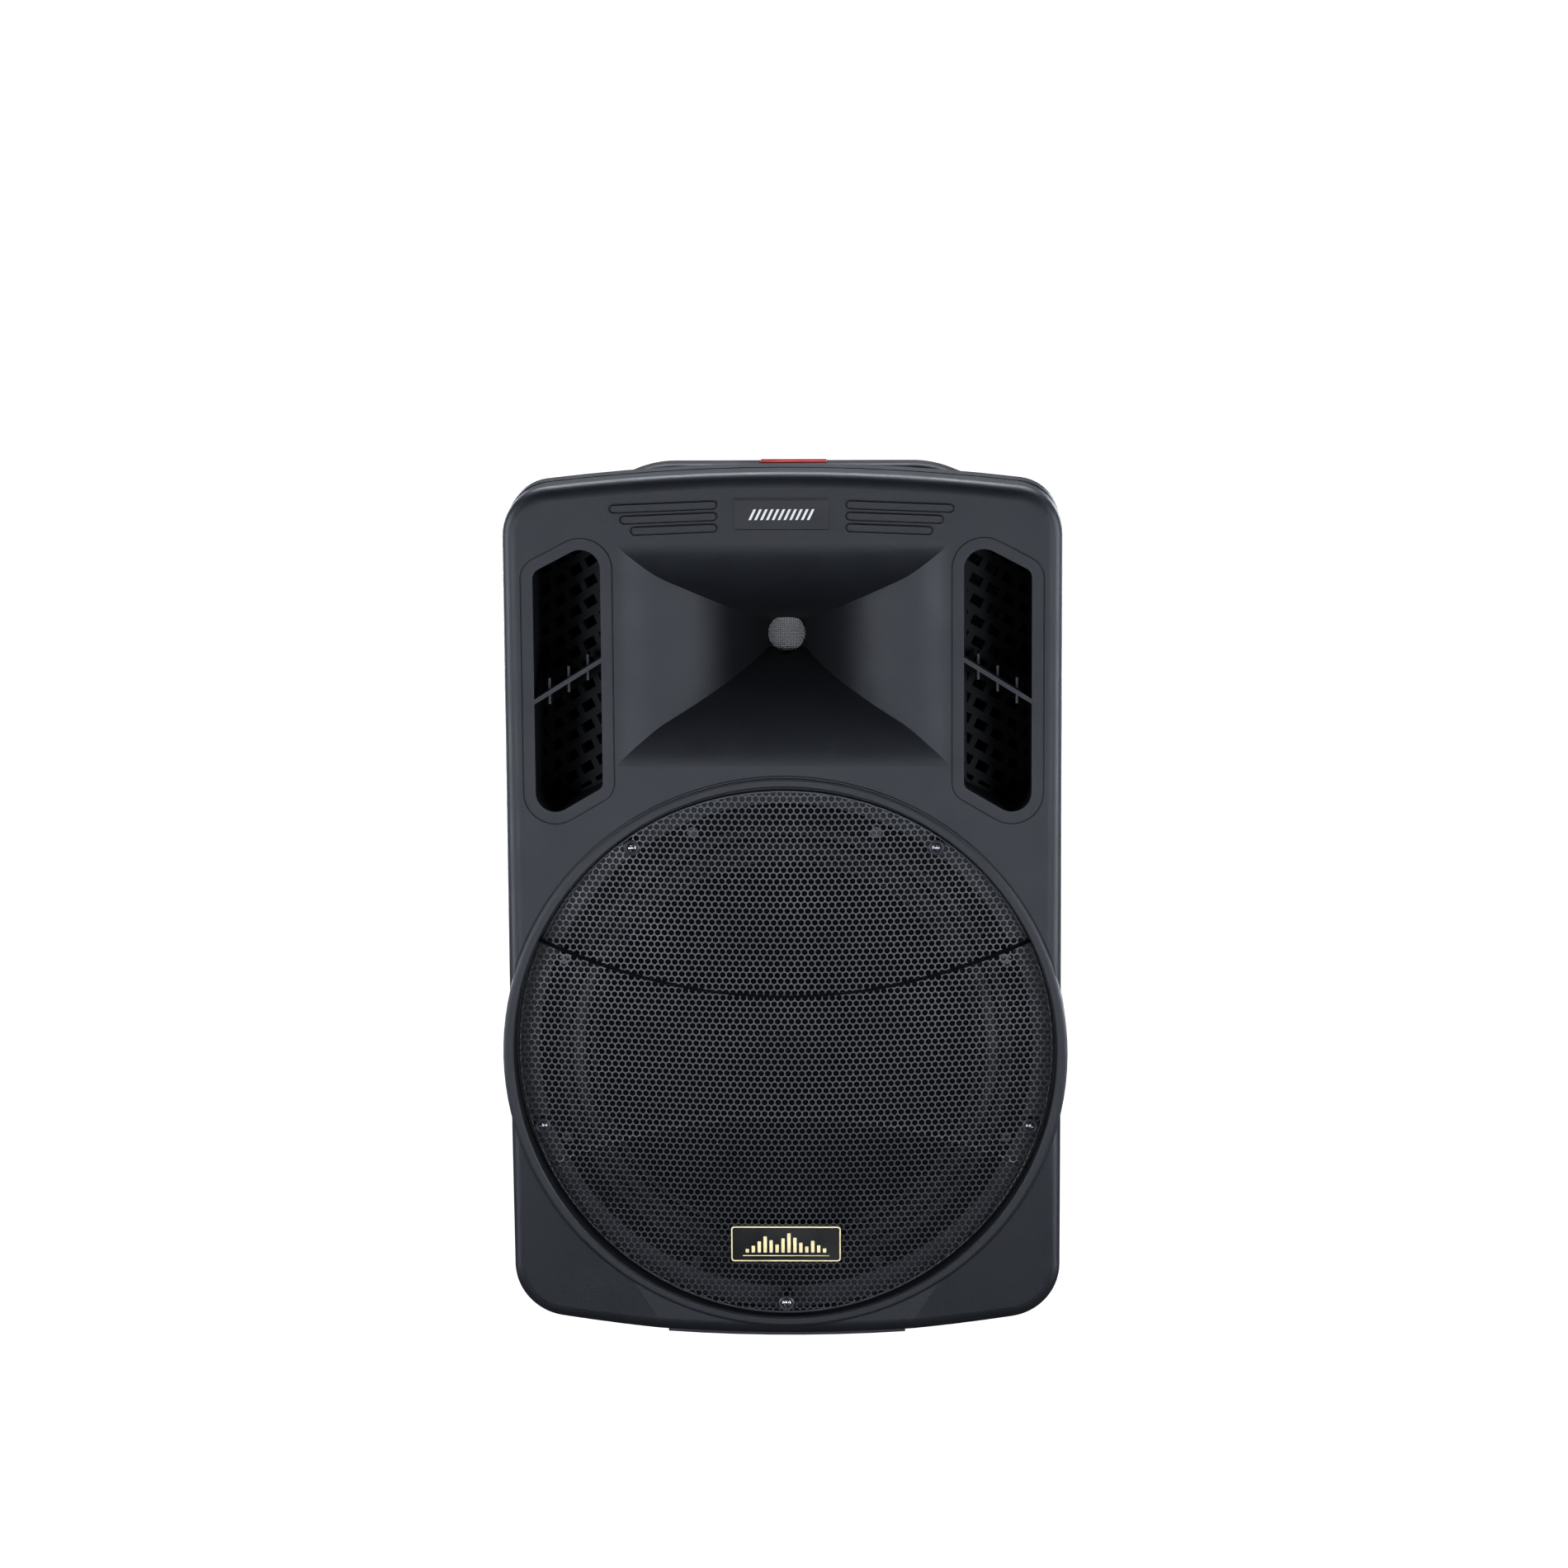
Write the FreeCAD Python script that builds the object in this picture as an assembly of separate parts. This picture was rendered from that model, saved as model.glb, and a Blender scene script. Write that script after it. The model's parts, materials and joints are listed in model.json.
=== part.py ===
"""Fifteen-inch portable PA speaker cabinet with a trolley handle and wheels.

Millimetres. +X is to the right of someone who faces the front, +Z is up, and the front looks
along -Y. Depths are measured back from the flat front face, and y = FACE_Y + depth.
The origin is on the floor under the middle of the cabinet's box.
"""
import FreeCAD, Part
import math
import os
from FreeCAD import Vector as V

# ---- driving dimensions -------------------------------------------------------------------
FACE_Y = -181.5            # y of the flat front face
HALF_WIDTH = 212.0         # side walls of the front moulding
CROWN_Z = 677.0            # highest point of the arched top
SOLE_Z = 4.0               # lowest point of the arched bottom
TOP_ARC_R, SOLE_ARC_R = 1510.0, 1343.0
TOP_CORNER_R, SOLE_CORNER_R = 38.0, 42.0
FACE_EDGE_R = 11.0         # rounding of the front edge
FRONT_DEPTH = 36.0         # depth of the front moulding, to the seam
SWEEP_START_Z, SWEEP_START_X, SWEEP_ANGLE = 190.0, 90.0, 7.5   # where the lower corners lean back
SEAM = 1.2                 # gasket thickness
WALL = 4.0
REAR_D = 330.0             # depth of the flat back
REAR_HALF_WIDTH, REAR_CROWN_Z, REAR_SOLE_Z = 178.0, 641.0, 12.0
REAR_BEVEL, REAR_WALL = 11.0, 5.0
# the rear shell keeps nearly the full outline back to COLLAR_D, then tapers
COLLAR_D, COLLAR_HALF_WIDTH, COLLAR_CROWN_Z, COLLAR_SOLE_Z, COLLAR_CORNER_R = 60.0, 210.6, 677.4, 5.0, 34.0

SPEAKER_Z = 228.0          # centre of woofer, grille and ring
RING_R, RING_BORE_R = 217.2, 209.0
RING_CREST_D = -1.0       # how far the ring stands proud of the face
FLOOR_D, FLOOR_T = 30.0, 6.0
WOOFER_HOLE_R = 177.0
GRILLE_R, GRILLE_T = 206.6, 1.5
GRILLE_FRONT_D = -6.0      # foremost point of the bowed grille
GRILLE_BOW, BOW_LENGTH = 19.66, 98.0
GRILLE_LEAN_UP, GRILLE_LEAN_DOWN = 5.0, 9.0
GRILLE_SCREW_R = 198.5
GRILLE_SCREW_ANGLES = [36, 108, 180, 252, 324]
BADGE_Z = 79.0

HORN_Z = 539.0
HORN_W, HORN_W_LENGTH, HORN_H, HORN_H_LENGTH = 119.0, 54.0, 70.0, 62.0   # half sizes and decay lengths
HORN_LIP_W, HORN_LIP_H = 8.0, 16.0           # round blends from the face into the flare
HORN_SHELL, HORN_SHELL_SHIFT = 2.5, 3.0      # growth and setback of the flare's outer surface
THROAT_R, THROAT_D, THROAT_BORE_D0 = 14.6, 117.0, 92.0

PORT_CORNERS = [(137.5, 629.0, 15.0), (188.8, 602.0, 8.0), (188.8, 407.0, 15.0), (137.5, 437.0, 6.0)]
PORT_DEPTH, PORT_WALL, LATTICE_D, LATTICE_T = 72.0, 3.0, 30.0, 5.0
LATTICE_X, LATTICE_TILT = 137.5, 32.0        # the guard leans back from the port's inner wall
SLOT_W, SLOT_H, SLOT_PITCH_W, SLOT_PITCH_H, SLOT_ANGLE = 11.6, 7.6, 17.2, 13.6, 30.0

RIB_INNER_X, RIB_OUTER_X = 49.6, (129.0, 121.0, 113.0)
RIB_Z, RIB_PITCH, RIB_H, RIB_PROUD, RIB_GROOVE, RIB_GROOVE_D = 653.4, 8.7, 4.5, 1.2, 1.5, 2.4

WHEEL_D, WHEEL_Z, WHEEL_R = 320.0, 51.0, 49.0
TYRE_X0, TYRE_X1, HUB_R, AXLE_R = 190.0, 217.0, 31.0, 5.0
RUN_CLEARANCE = 0.05
POLE_D, POLE_R, POLE_LENGTH = 150.0, 17.75, 80.0
FEET = [(-135, 75), (135, 75), (-120, 255), (120, 255)]
FOOT_R, FOOT_H = 18.0, 8.0

TUBE_X, TUBE_D = 125.0, 316.0
INNER_TUBE_R, OUTER_TUBE_R, OUTER_TUBE_BORE_R = 10.0, 12.5, 11.0
CHANNEL_HALF, CHANNEL_D0, CHANNEL_Z0 = 17.0, 302.0, 70.0
GRIP_Z0, GRIP_Z1, GRIP_D0, GRIP_D1, GRIP_HALF = 619.0, 648.5, 304.0, 338.0, 140.0
RECESS_Z0, RECESS_HALF = 618.0, 144.0
BUTTON_HALF, BUTTON_D0, BUTTON_D1, BUTTON_Z0, BUTTON_PROUD = 27.0, 312.0, 330.0, 639.0, 1.3

HANDLE_D, HANDLE_HALF, HANDLE_LENGTH, HANDLE_R = 150.0, 42.0, 75.0, 13.0
HANDLE_Z, HANDLE_POCKET_Z = 640.0, 610.0

PANEL_HALF, PANEL_Z0, PANEL_Z1, PANEL_T = 98.0, 207.0, 533.0, 2.5
PANEL_HOLE_HALF, PANEL_HOLE_Z0, PANEL_HOLE_Z1 = 88.0, 217.0, 523.0
KNOBS = {"mic_volume_knob": (-60, 430), "line_volume_knob": (-20, 430), "bass_knob": (20, 430),
         "treble_knob": (60, 430), "master_volume_knob": (0, 380)}
KNOB_R, KNOB_LENGTH, KNOB_SHAFT_R = 9.5, 14.0, 3.0
ROCKERS = {"power_switch": (26, 250), "battery_switch": (62, 250)}
ROCKER_R, ROCKER_HALF_W, ROCKER_HALF_H, ROCKER_TILT = 13.0, 7.0, 10.0, 10.0
MEDIA_BUTTONS = {"previous_button": 10, "play_button": 24, "next_button": 38}
MEDIA_Z, MEDIA_BUTTON_Z, MEDIA_BUTTON_R = 494.0, 504.0, 4.0
JACKS = [(-58, 325), (-16, 325), (30, 325)]
JACK_R = 9.0
INLET = (-48, 250)
SHELL_SCREWS = [(0, 660), (-130, 652), (130, 652), (-200, 520), (200, 520), (-200, 332), (200, 332),
                (-200, 124), (200, 124), (-152, 25), (152, 25)]
WELL_D = 60.0              # floor of the deep screw wells in the rear shell

Y = V(0, 1, 0)
Z = V(0, 0, 1)


# ---- small makers -------------------------------------------------------------------------
def point(x, depth, z):
    return V(x, FACE_Y + depth, z)


def box(x0, x1, d0, d1, z0, z1):
    return Part.makeBox(x1 - x0, d1 - d0, z1 - z0, point(x0, d0, z0))


def rod(x, z, d0, d1, r):
    """A cylinder that runs from front to back."""
    return Part.makeCylinder(r, d1 - d0, point(x, d0, z), Y)


def pillar(x, depth, z0, z1, r):
    return Part.makeCylinder(r, z1 - z0, point(x, depth, z0), Z)


def pin(x0, x1, depth, z, r):
    return Part.makeCylinder(r, x1 - x0, point(x0, depth, z), V(1, 0, 0))


def fuse(shapes):
    return shapes[0].multiFuse(shapes[1:]).removeSplitter() if len(shapes) > 1 else shapes[0]


def ring_about(outline, z=SPEAKER_Z, x=0.0):
    """Turns an outline of (radius, depth) points about a front-to-back line."""
    points = [point(x + r, depth, z) for r, depth in outline]
    face = Part.Face(Part.makePolygon(points + points[:1]))
    return face.revolve(point(x, 0, z), Y, 360)


def prism(wire, length):
    return Part.Face(wire).extrude(V(0, length, 0))


def rounded_wire(corners, depth):
    """A closed outline of (x, z, radius) corners at one depth, its corners rounded by arcs."""
    pts = [V(x, 0, z) for x, z, r in corners]
    n = len(pts)
    edges, ends = [], []
    for i, (x, z, r) in enumerate(corners):
        to_last = (pts[i - 1] - pts[i]).normalize()
        to_next = (pts[(i + 1) % n] - pts[i]).normalize()
        half = to_last.getAngle(to_next) / 2
        reach = r / math.tan(half)
        centre = pts[i] + (to_last + to_next).normalize() * (r / math.sin(half))
        middle = centre + (pts[i] - centre).normalize() * r
        ends.append((pts[i] + to_last * reach, middle, pts[i] + to_next * reach))
    shift = V(0, FACE_Y + depth, 0)
    for i, (start, middle, end) in enumerate(ends):
        edges.append(Part.Arc(start + shift, middle + shift, end + shift).toShape())
        edges.append(Part.makeLine(end + shift, ends[(i + 1) % n][0] + shift))
    return Part.Wire(edges)


def cabinet_wire(depth, half, crown, sole, inset=0.0, top_corner=TOP_CORNER_R):
    """The cabinet's outline: straight sides, arched top and bottom, four round corners."""
    half -= inset
    rows = []
    ends = ((1, TOP_ARC_R, top_corner, crown), (-1, SOLE_ARC_R, SOLE_CORNER_R, sole))
    for sign, radius, corner, edge in ends:
        hub = edge - sign * radius
        radius, corner = radius - inset, corner - inset
        cx = half - corner
        cz = hub + sign * math.sqrt((radius - corner) ** 2 - cx ** 2)
        out = V(cx, 0, cz - hub).normalize()
        on_arc = V(0, 0, hub) + out * radius
        middle = V(cx, 0, cz) + (V(1, 0, 0) + out).normalize() * corner
        rows.append((V(half, 0, cz), middle, on_arc, V(0, 0, hub + sign * radius)))
    shift = V(0, FACE_Y + depth, 0)
    (t_side, t_mid, t_arc, t_top), (s_side, s_mid, s_arc, s_low) = [[p + shift for p in row] for row in rows]

    def left(p):
        return V(-p.x, p.y, p.z)

    def arc(start, middle, end):
        return Part.Arc(start, middle, end).toShape()
    return Part.Wire([
        arc(left(s_arc), s_low, s_arc), arc(s_arc, s_mid, s_side), Part.makeLine(s_side, t_side),
        arc(t_side, t_mid, t_arc), arc(t_arc, t_top, left(t_arc)),
        arc(left(t_arc), left(t_mid), left(t_side)),
        Part.makeLine(left(t_side), left(s_side)), arc(left(s_side), left(s_mid), left(s_arc))])


def mirror_x(shape):
    return shape.mirror(V(0, 0, 0), V(1, 0, 0))


def screws(places, r_head, head_t, r_shank, length, towards=1):
    """Pan-head screws: (x, z, depth under the head), with shanks that run back, or forward."""
    made = []
    for x, z, depth in places:
        head = Part.makeCylinder(r_head, head_t, point(x, depth - towards * head_t, z), Y * towards)
        slot = box(x - r_head * 0.55, x + r_head * 0.55, -1, 1, z - 0.6, z + 0.6)
        cross = box(x - 0.6, x + 0.6, -1, 1, z - r_head * 0.55, z + r_head * 0.55)
        drive = slot.fuse(cross).translate(V(0, depth - towards * head_t, 0))
        shank = Part.makeCylinder(r_shank, length, point(x, depth, z), Y * towards)
        made.append(head.fuse(shank).removeSplitter().cut(drive))
    return Part.makeCompound(made)


def grille_depth(x, z):
    """Depth of the bowed grille's front skin."""
    lean = (z - SPEAKER_Z) / GRILLE_R
    bow = GRILLE_BOW * math.log(math.cosh(x / BOW_LENGTH))
    return GRILLE_FRONT_D + bow + (GRILLE_LEAN_UP if lean > 0 else GRILLE_LEAN_DOWN) * lean ** 2


def on_circle(r, degrees):
    """A place on a circle about the speaker's axis, clockwise from the top."""
    a = math.radians(degrees)
    return r * math.sin(a), SPEAKER_Z + r * math.cos(a)


# ---- front moulding -----------------------------------------------------------------------
def swept_block(inset, front, side, rounding):
    """The cabinet's outline behind a plane that leans back towards one lower corner."""
    start, end = V(HALF_WIDTH * side, 0, SWEEP_START_Z), V(SWEEP_START_X * side, 0, SOLE_Z)
    along = (end - start).normalize()
    outwards = V(-along.z * side, 0, along.x * side) * side
    if outwards.z > 0:
        outwards = outwards * -1
    lean, reach, ahead = math.tan(math.radians(SWEEP_ANGLE)), 900.0, 150.0
    near, far = start - outwards * reach, start + outwards * reach
    corners = [near + Y * (front - lean * reach), far + Y * (front + lean * reach),
               far - Y * 2 * ahead, near - Y * 2 * ahead]
    corners = [c - along * reach + V(0, FACE_Y, 0) for c in corners]
    cutter = Part.Face(Part.makePolygon(corners + corners[:1])).extrude(along * 2 * reach)
    length = ahead + FRONT_DEPTH + (1 if inset else 0)
    block = prism(cabinet_wire(-ahead, HALF_WIDTH, CROWN_Z, SOLE_Z, inset), length).cut(cutter)
    if not rounding:
        return block
    rim = [e for e in block.Edges
           if e.BoundBox.YMax < FACE_Y + FRONT_DEPTH - 0.5 and on_plane(e, start, outwards, lean)]
    return block.makeFillet(rounding, rim)


def on_plane(edge, start, outwards, lean):
    """True for an edge that lies all along the swept plane."""
    span = edge.LastParameter - edge.FirstParameter
    for t in (0.0, 0.4, 1.0):
        p = edge.valueAt(edge.FirstParameter + span * t)
        reach = (p.x - start.x) * outwards.x + (p.z - start.z) * outwards.z
        if abs(p.y - FACE_Y - lean * reach) > 0.01:
            return False
    return True


def sweep_depth(x, z):
    """How far the swept lower corner lies behind the flat face."""
    run, rise = HALF_WIDTH - SWEEP_START_X, SWEEP_START_Z - SOLE_Z
    reach = ((abs(x) - HALF_WIDTH) * rise - (z - SWEEP_START_Z) * run) / math.hypot(run, rise)
    return max(0.0, reach * math.tan(math.radians(SWEEP_ANGLE)))


def face_block(inset, front, rounding=0.0):
    """The front moulding's outer or inner form, with its lower corners swept back."""
    length = FRONT_DEPTH - front + (1 if inset else 0)
    block = prism(cabinet_wire(front, HALF_WIDTH, CROWN_Z, SOLE_Z, inset), length)
    if rounding:
        front_edges = [e for e in block.Edges if e.BoundBox.YMax < FACE_Y + front + 0.1]
        block = block.makeFillet(rounding, front_edges)
    for side in (-1, 1):
        block = block.common(swept_block(inset, front, side, rounding))
    return block


def horn_core(grow, setback, d1):
    """The horn's rectangular flare, round at its lip: two extruded profiles in common."""
    def outline(size, length, lip):
        """(half size, depth) points from the lip's edge to the throat."""
        depths = [lip * (1 - math.cos(math.pi / 2 * k / 5)) for k in range(6)]
        half = [(size * math.exp(-d / length) + lip - math.sqrt(lip ** 2 - (lip - d) ** 2), d) for d in depths]
        depths = [lip + (d1 - lip) * (k / 10) ** 1.4 for k in range(1, 11)]
        half += [(size * math.exp(-d / length), d) for d in depths]
        return [(h + grow, d + setback) for h, d in half]

    def profile(size, length, lip, across, turned):
        sides = []
        for sign in (1, -1):
            pts = [V(0, FACE_Y + d, HORN_Z + sign * h) if turned else V(sign * h, FACE_Y + d, 0)
                   for h, d in outline(size, length, lip)]
            curve = Part.BSplineCurve()
            curve.interpolate(pts)
            sides.append((curve.toShape(), pts))
        (one, p), (two, q) = sides
        ahead = Y * -3.0
        wire = Part.Wire([one, Part.makeLine(p[-1], q[-1]), two, Part.makeLine(q[0], q[0] + ahead),
                          Part.makeLine(q[0] + ahead, p[0] + ahead), Part.makeLine(p[0] + ahead, p[0])])
        wire.translate(V(-across, 0, 0) if turned else V(0, 0, HORN_Z - across))
        return Part.Face(wire).extrude((V(1, 0, 0) if turned else Z) * 2 * across)
    plan = profile(HORN_W, HORN_W_LENGTH, HORN_LIP_W, 140, False)
    side = profile(HORN_H, HORN_H_LENGTH, HORN_LIP_H, 180, True)
    return plan.common(side)


def port_wire(depth, grow=0.0):
    wire = rounded_wire(PORT_CORNERS, depth)
    return wire.makeOffset2D(grow) if grow else wire


def port_divider():
    """The slanted bar flush with the face, and three small ribs behind it."""
    opening = prism(port_wire(0), PORT_DEPTH)
    bar = box(125, 205, 0, 13, -1.65, 1.65)
    bar.rotate(point(163, 0, 0), V(0, 1, 0), 32)
    bar.translate(V(0, 0, 519))
    parts = [bar.common(opening)]
    for i in (-1, 0, 1):
        x = 163 + 14.6 * i
        z = 519 - 14.6 * i * math.tan(math.radians(32))
        parts.append(box(x - 0.9, x + 0.9, 10, LATTICE_D - 1.0, z - 10, z + 10).common(opening))
    return fuse(parts)


def stadium(x0, x1, z, height, d0, d1, slope):
    """A long bar with round ends on the face, sloping down away from x0."""
    r = height / 2
    bar = fuse([box(x0 + r, x1 - r, d0, d1, z - r, z + r),
                rod(x0 + r, z, d0, d1, r), rod(x1 - r, z, d0, d1, r)])
    bar.rotate(point(x0, 0, z), Y, slope)
    return bar


def front_baffle():
    outer = face_block(0.0, 0.0, FACE_EDGE_R)
    body = outer.cut(face_block(WALL, WALL))
    crest = RING_CREST_D
    ring = ring_about([(RING_BORE_R, FRONT_DEPTH), (RING_BORE_R, crest + 1.2), (RING_BORE_R + 1.0, crest),
                       (RING_R - 3.0, crest), (RING_R - 1.5, crest + 0.4), (RING_R - 0.5, crest + 1.4),
                       (RING_R, crest + 3.4), (RING_R, FRONT_DEPTH)])
    floor = rod(0, SPEAKER_Z, FLOOR_D, FLOOR_D + FLOOR_T, RING_BORE_R + 1)
    limit = prism(cabinet_wire(-5, HALF_WIDTH + 6, CROWN_Z, SOLE_Z), FRONT_DEPTH + 5)
    parts = [body, ring.common(limit), floor]
    parts.append(horn_core(HORN_SHELL, HORN_SHELL_SHIFT, THROAT_D - HORN_SHELL_SHIFT))
    parts.append(rod(0, HORN_Z, THROAT_D - 8, THROAT_D, 40))
    duct = prism(port_wire(1, PORT_WALL), PORT_DEPTH - 1)
    parts += [duct, mirror_x(duct)]
    for x, z in SHELL_SCREWS:
        parts.append(rod(x, z, WALL - 1 + sweep_depth(x, z), FRONT_DEPTH, 6.0))
    pad = prism(cabinet_wire(6, HALF_WIDTH, CROWN_Z, SOLE_Z - 1.0), FRONT_DEPTH - 6)
    parts.append(pad.common(box(-92, 92, 6, FRONT_DEPTH, 0, 9)))
    solid = fuse(parts)
    solid = solid.cut(rod(0, SPEAKER_Z, -6, FLOOR_D, RING_BORE_R))
    solid = solid.cut(rod(0, SPEAKER_Z, 0, 60, WOOFER_HOLE_R))
    solid = solid.cut(horn_core(0.0, 0.0, THROAT_D - 3))
    solid = solid.cut(rod(0, HORN_Z, THROAT_BORE_D0, THROAT_D + 5, THROAT_R))
    opening = prism(port_wire(-5), PORT_DEPTH + 6)
    groove = prism(port_wire(-1, 9.7), 2.6).cut(prism(port_wire(-1, 8.5), 2.6))
    ring_line = ring_about([(RING_R, -2), (RING_R + 1.3, -2), (RING_R + 1.3, 1.8), (RING_R, 1.8)])
    ring_line = ring_line.common(box(-300, 300, -5, 5, 250, 460))
    cuts = [opening, mirror_x(opening), groove, mirror_x(groove), ring_line]
    ribs, rib_lines = [], []
    for i, outer_x in enumerate(RIB_OUTER_X):
        z = RIB_Z - RIB_PITCH * i
        rib = stadium(RIB_INNER_X, outer_x, z, RIB_H, -RIB_PROUD, RIB_GROOVE_D, 2.2)
        line = stadium(RIB_INNER_X - RIB_GROOVE, outer_x + RIB_GROOVE, z, RIB_H + 2 * RIB_GROOVE,
                       -2, RIB_GROOVE_D, 2.2)
        ribs += [rib, mirror_x(rib)]
        rib_lines += [line, mirror_x(line)]
    solid = solid.cut(Part.makeCompound(cuts)).cut(Part.makeCompound(rib_lines))
    divider = port_divider()
    bosses = []
    for angle in GRILLE_SCREW_ANGLES:
        x, z = on_circle(GRILLE_SCREW_R, angle)
        bosses.append(rod(x, z, grille_depth(x, z) + GRILLE_T + 1.6, FLOOR_D + 1, 5.0))
    solid = fuse([solid, divider, mirror_x(divider)] + ribs + bosses)
    holes = [rod(x, z, 14, 60, 2.05) for x, z in SHELL_SCREWS]
    for angle in GRILLE_SCREW_ANGLES:
        x, z = on_circle(GRILLE_SCREW_R, angle)
        holes.append(rod(x, z, 0, FLOOR_D - 1, 1.8))
    holes += [rod(x, z, 20, 60, 2.55) for x, z in woofer_screw_places()]
    holes += [rod(x, z, THROAT_D - 12, THROAT_D + 8, 2.55) for x, z in driver_screw_places()]
    return solid.cut(Part.makeCompound(holes))


def woofer_screw_places():
    return [on_circle(184, 22.5 + 45 * i) for i in range(8)]


def driver_screw_places():
    return [(38 * math.cos(a) * 0.87, HORN_Z + 38 * math.sin(a) * 0.87)
            for a in (math.pi / 4 + math.pi / 2 * i for i in range(4))]


def port_lattice():
    """The slanted brick-pattern guard of the right port, which leans back towards the outer wall."""
    def lean(shape):
        shape.rotate(point(LATTICE_X, LATTICE_D, 0), Z, LATTICE_TILT)
        return shape
    slots = []
    for row in range(-10, 11):
        for column in range(-8, 9):
            along = (column + (0.5 if row % 2 else 0.0)) * SLOT_PITCH_W
            across = row * SLOT_PITCH_H
            slot = box(along - SLOT_W / 2, along + SLOT_W / 2, LATTICE_D - 2, LATTICE_D + LATTICE_T + 2,
                       across - SLOT_H / 2, across + SLOT_H / 2)
            slot.rotate(V(0, 0, 0), Y, SLOT_ANGLE)
            slot.translate(V(166, 0, 518))
            if slot.BoundBox.XMax > 136 and slot.BoundBox.XMin < 200:
                slots.append(slot)
    slab = lean(box(110, 215, LATTICE_D, LATTICE_D + LATTICE_T, 390, 650))
    inside = prism(port_wire(10, -0.15), PORT_DEPTH - 11)
    rim = inside.cut(prism(port_wire(9, -2.2), PORT_DEPTH - 9))
    pierced = slab.cut(lean(Part.makeCompound(slots)))
    return fuse([pierced.common(inside), slab.common(rim)])


# ---- rear shell ---------------------------------------------------------------------------
def rear_form(inset, d0, d1):
    """The rear half: a straight collar, a taper to the back, and a bevelled back edge."""
    def at(depth, extra=0.0):
        t = max(0.0, (depth - COLLAR_D) / (REAR_D - COLLAR_D))
        half = COLLAR_HALF_WIDTH + (REAR_HALF_WIDTH - COLLAR_HALF_WIDTH) * t
        crown = COLLAR_CROWN_Z + (REAR_CROWN_Z - COLLAR_CROWN_Z) * t
        sole = COLLAR_SOLE_Z + (REAR_SOLE_Z - COLLAR_SOLE_Z) * t
        return cabinet_wire(depth, half, crown, sole, inset + extra, COLLAR_CORNER_R)
    collar = prism(at(d0), COLLAR_D - d0)
    taper = Part.makeLoft([at(COLLAR_D), at(d1 - REAR_BEVEL)], True, True)
    back = Part.makeLoft([at(d1 - REAR_BEVEL), at(d1 - 3.5, 3.0), at(d1, 9.0)], True, True)
    return fuse([collar, taper, back])


def tube_boxes(grow):
    """Channels for the trolley tubes and the recess for its grip."""
    half, above = RECESS_HALF + grow, COLLAR_CROWN_Z + 40
    parts = [box(-half, half, CHANNEL_D0 - grow, REAR_D + 20, RECESS_Z0 - grow, above)]
    for side in (-1, 1):
        x = TUBE_X * side
        parts.append(box(x - CHANNEL_HALF - grow, x + CHANNEL_HALF + grow, CHANNEL_D0 - grow, REAR_D + 20,
                         CHANNEL_Z0 - grow, RECESS_Z0 + 1))
    return fuse(parts)


def handle_pocket(grow):
    return box(-HANDLE_LENGTH - grow, HANDLE_LENGTH + grow, HANDLE_D - HANDLE_HALF - grow,
               HANDLE_D + HANDLE_HALF + grow, HANDLE_POCKET_Z - grow, 720)


def rear_shell():
    seam = FRONT_DEPTH + SEAM
    outer = rear_form(0.0, seam, REAR_D)
    cavity = rear_form(REAR_WALL, seam - 0.5, REAR_D - REAR_WALL)
    keep = [tube_boxes(4.0), handle_pocket(4.0), box(-186, 186, 309, REAR_D, 40, 62)]
    keep.append(pillar(0, POLE_D, 0, 13, 48))
    keep += [pillar(x, d, 0, 18, 20) for x, d in FEET]
    keep.append(box(-80, 80, 196, 272, 0, 20))
    keep += [rod(x, z, seam, REAR_D, 7.6) for x, z in SHELL_SCREWS]
    shell = outer.cut(cavity.cut(Part.makeCompound(keep)))
    extra = [pillar(x, d, FOOT_H, 17, 20) for x, d in FEET]
    extra += [pin(-191.6, -160, WHEEL_D, WHEEL_Z, 12), pin(160, 191.6, WHEEL_D, WHEEL_Z, 12)]
    shell = fuse([shell] + extra)
    cuts = [tube_boxes(0.0), handle_pocket(0.0)]
    cuts += [rod(x, z, WELL_D, REAR_D + 20, 6.0) for x, z in SHELL_SCREWS]
    cuts += [rod(x, z, 30, WELL_D + 1, 2.3) for x, z in SHELL_SCREWS]
    cuts.append(box(-PANEL_HOLE_HALF, PANEL_HOLE_HALF, 300, 340, PANEL_HOLE_Z0, PANEL_HOLE_Z1))
    half = PANEL_HALF + 0.3
    cuts.append(box(-half, half, REAR_D - PANEL_T, REAR_D + 10, PANEL_Z0 - 0.3, PANEL_Z1 + 0.3))
    cuts += [rod(x, z, 310, 340, 1.8) for x, z in panel_screw_places()]
    cuts.append(pillar(0, POLE_D, -5, 8.0, 42.4))
    cuts.append(pillar(0, POLE_D, -5, 30, 20.7))
    cuts += [pillar(x, d, 0, 30, 2.3) for x, d in pole_screw_places()]
    cuts.append(pin(-200, 200, WHEEL_D, WHEEL_Z, AXLE_R + RUN_CLEARANCE))
    return shell.cut(Part.makeCompound(cuts))


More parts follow.
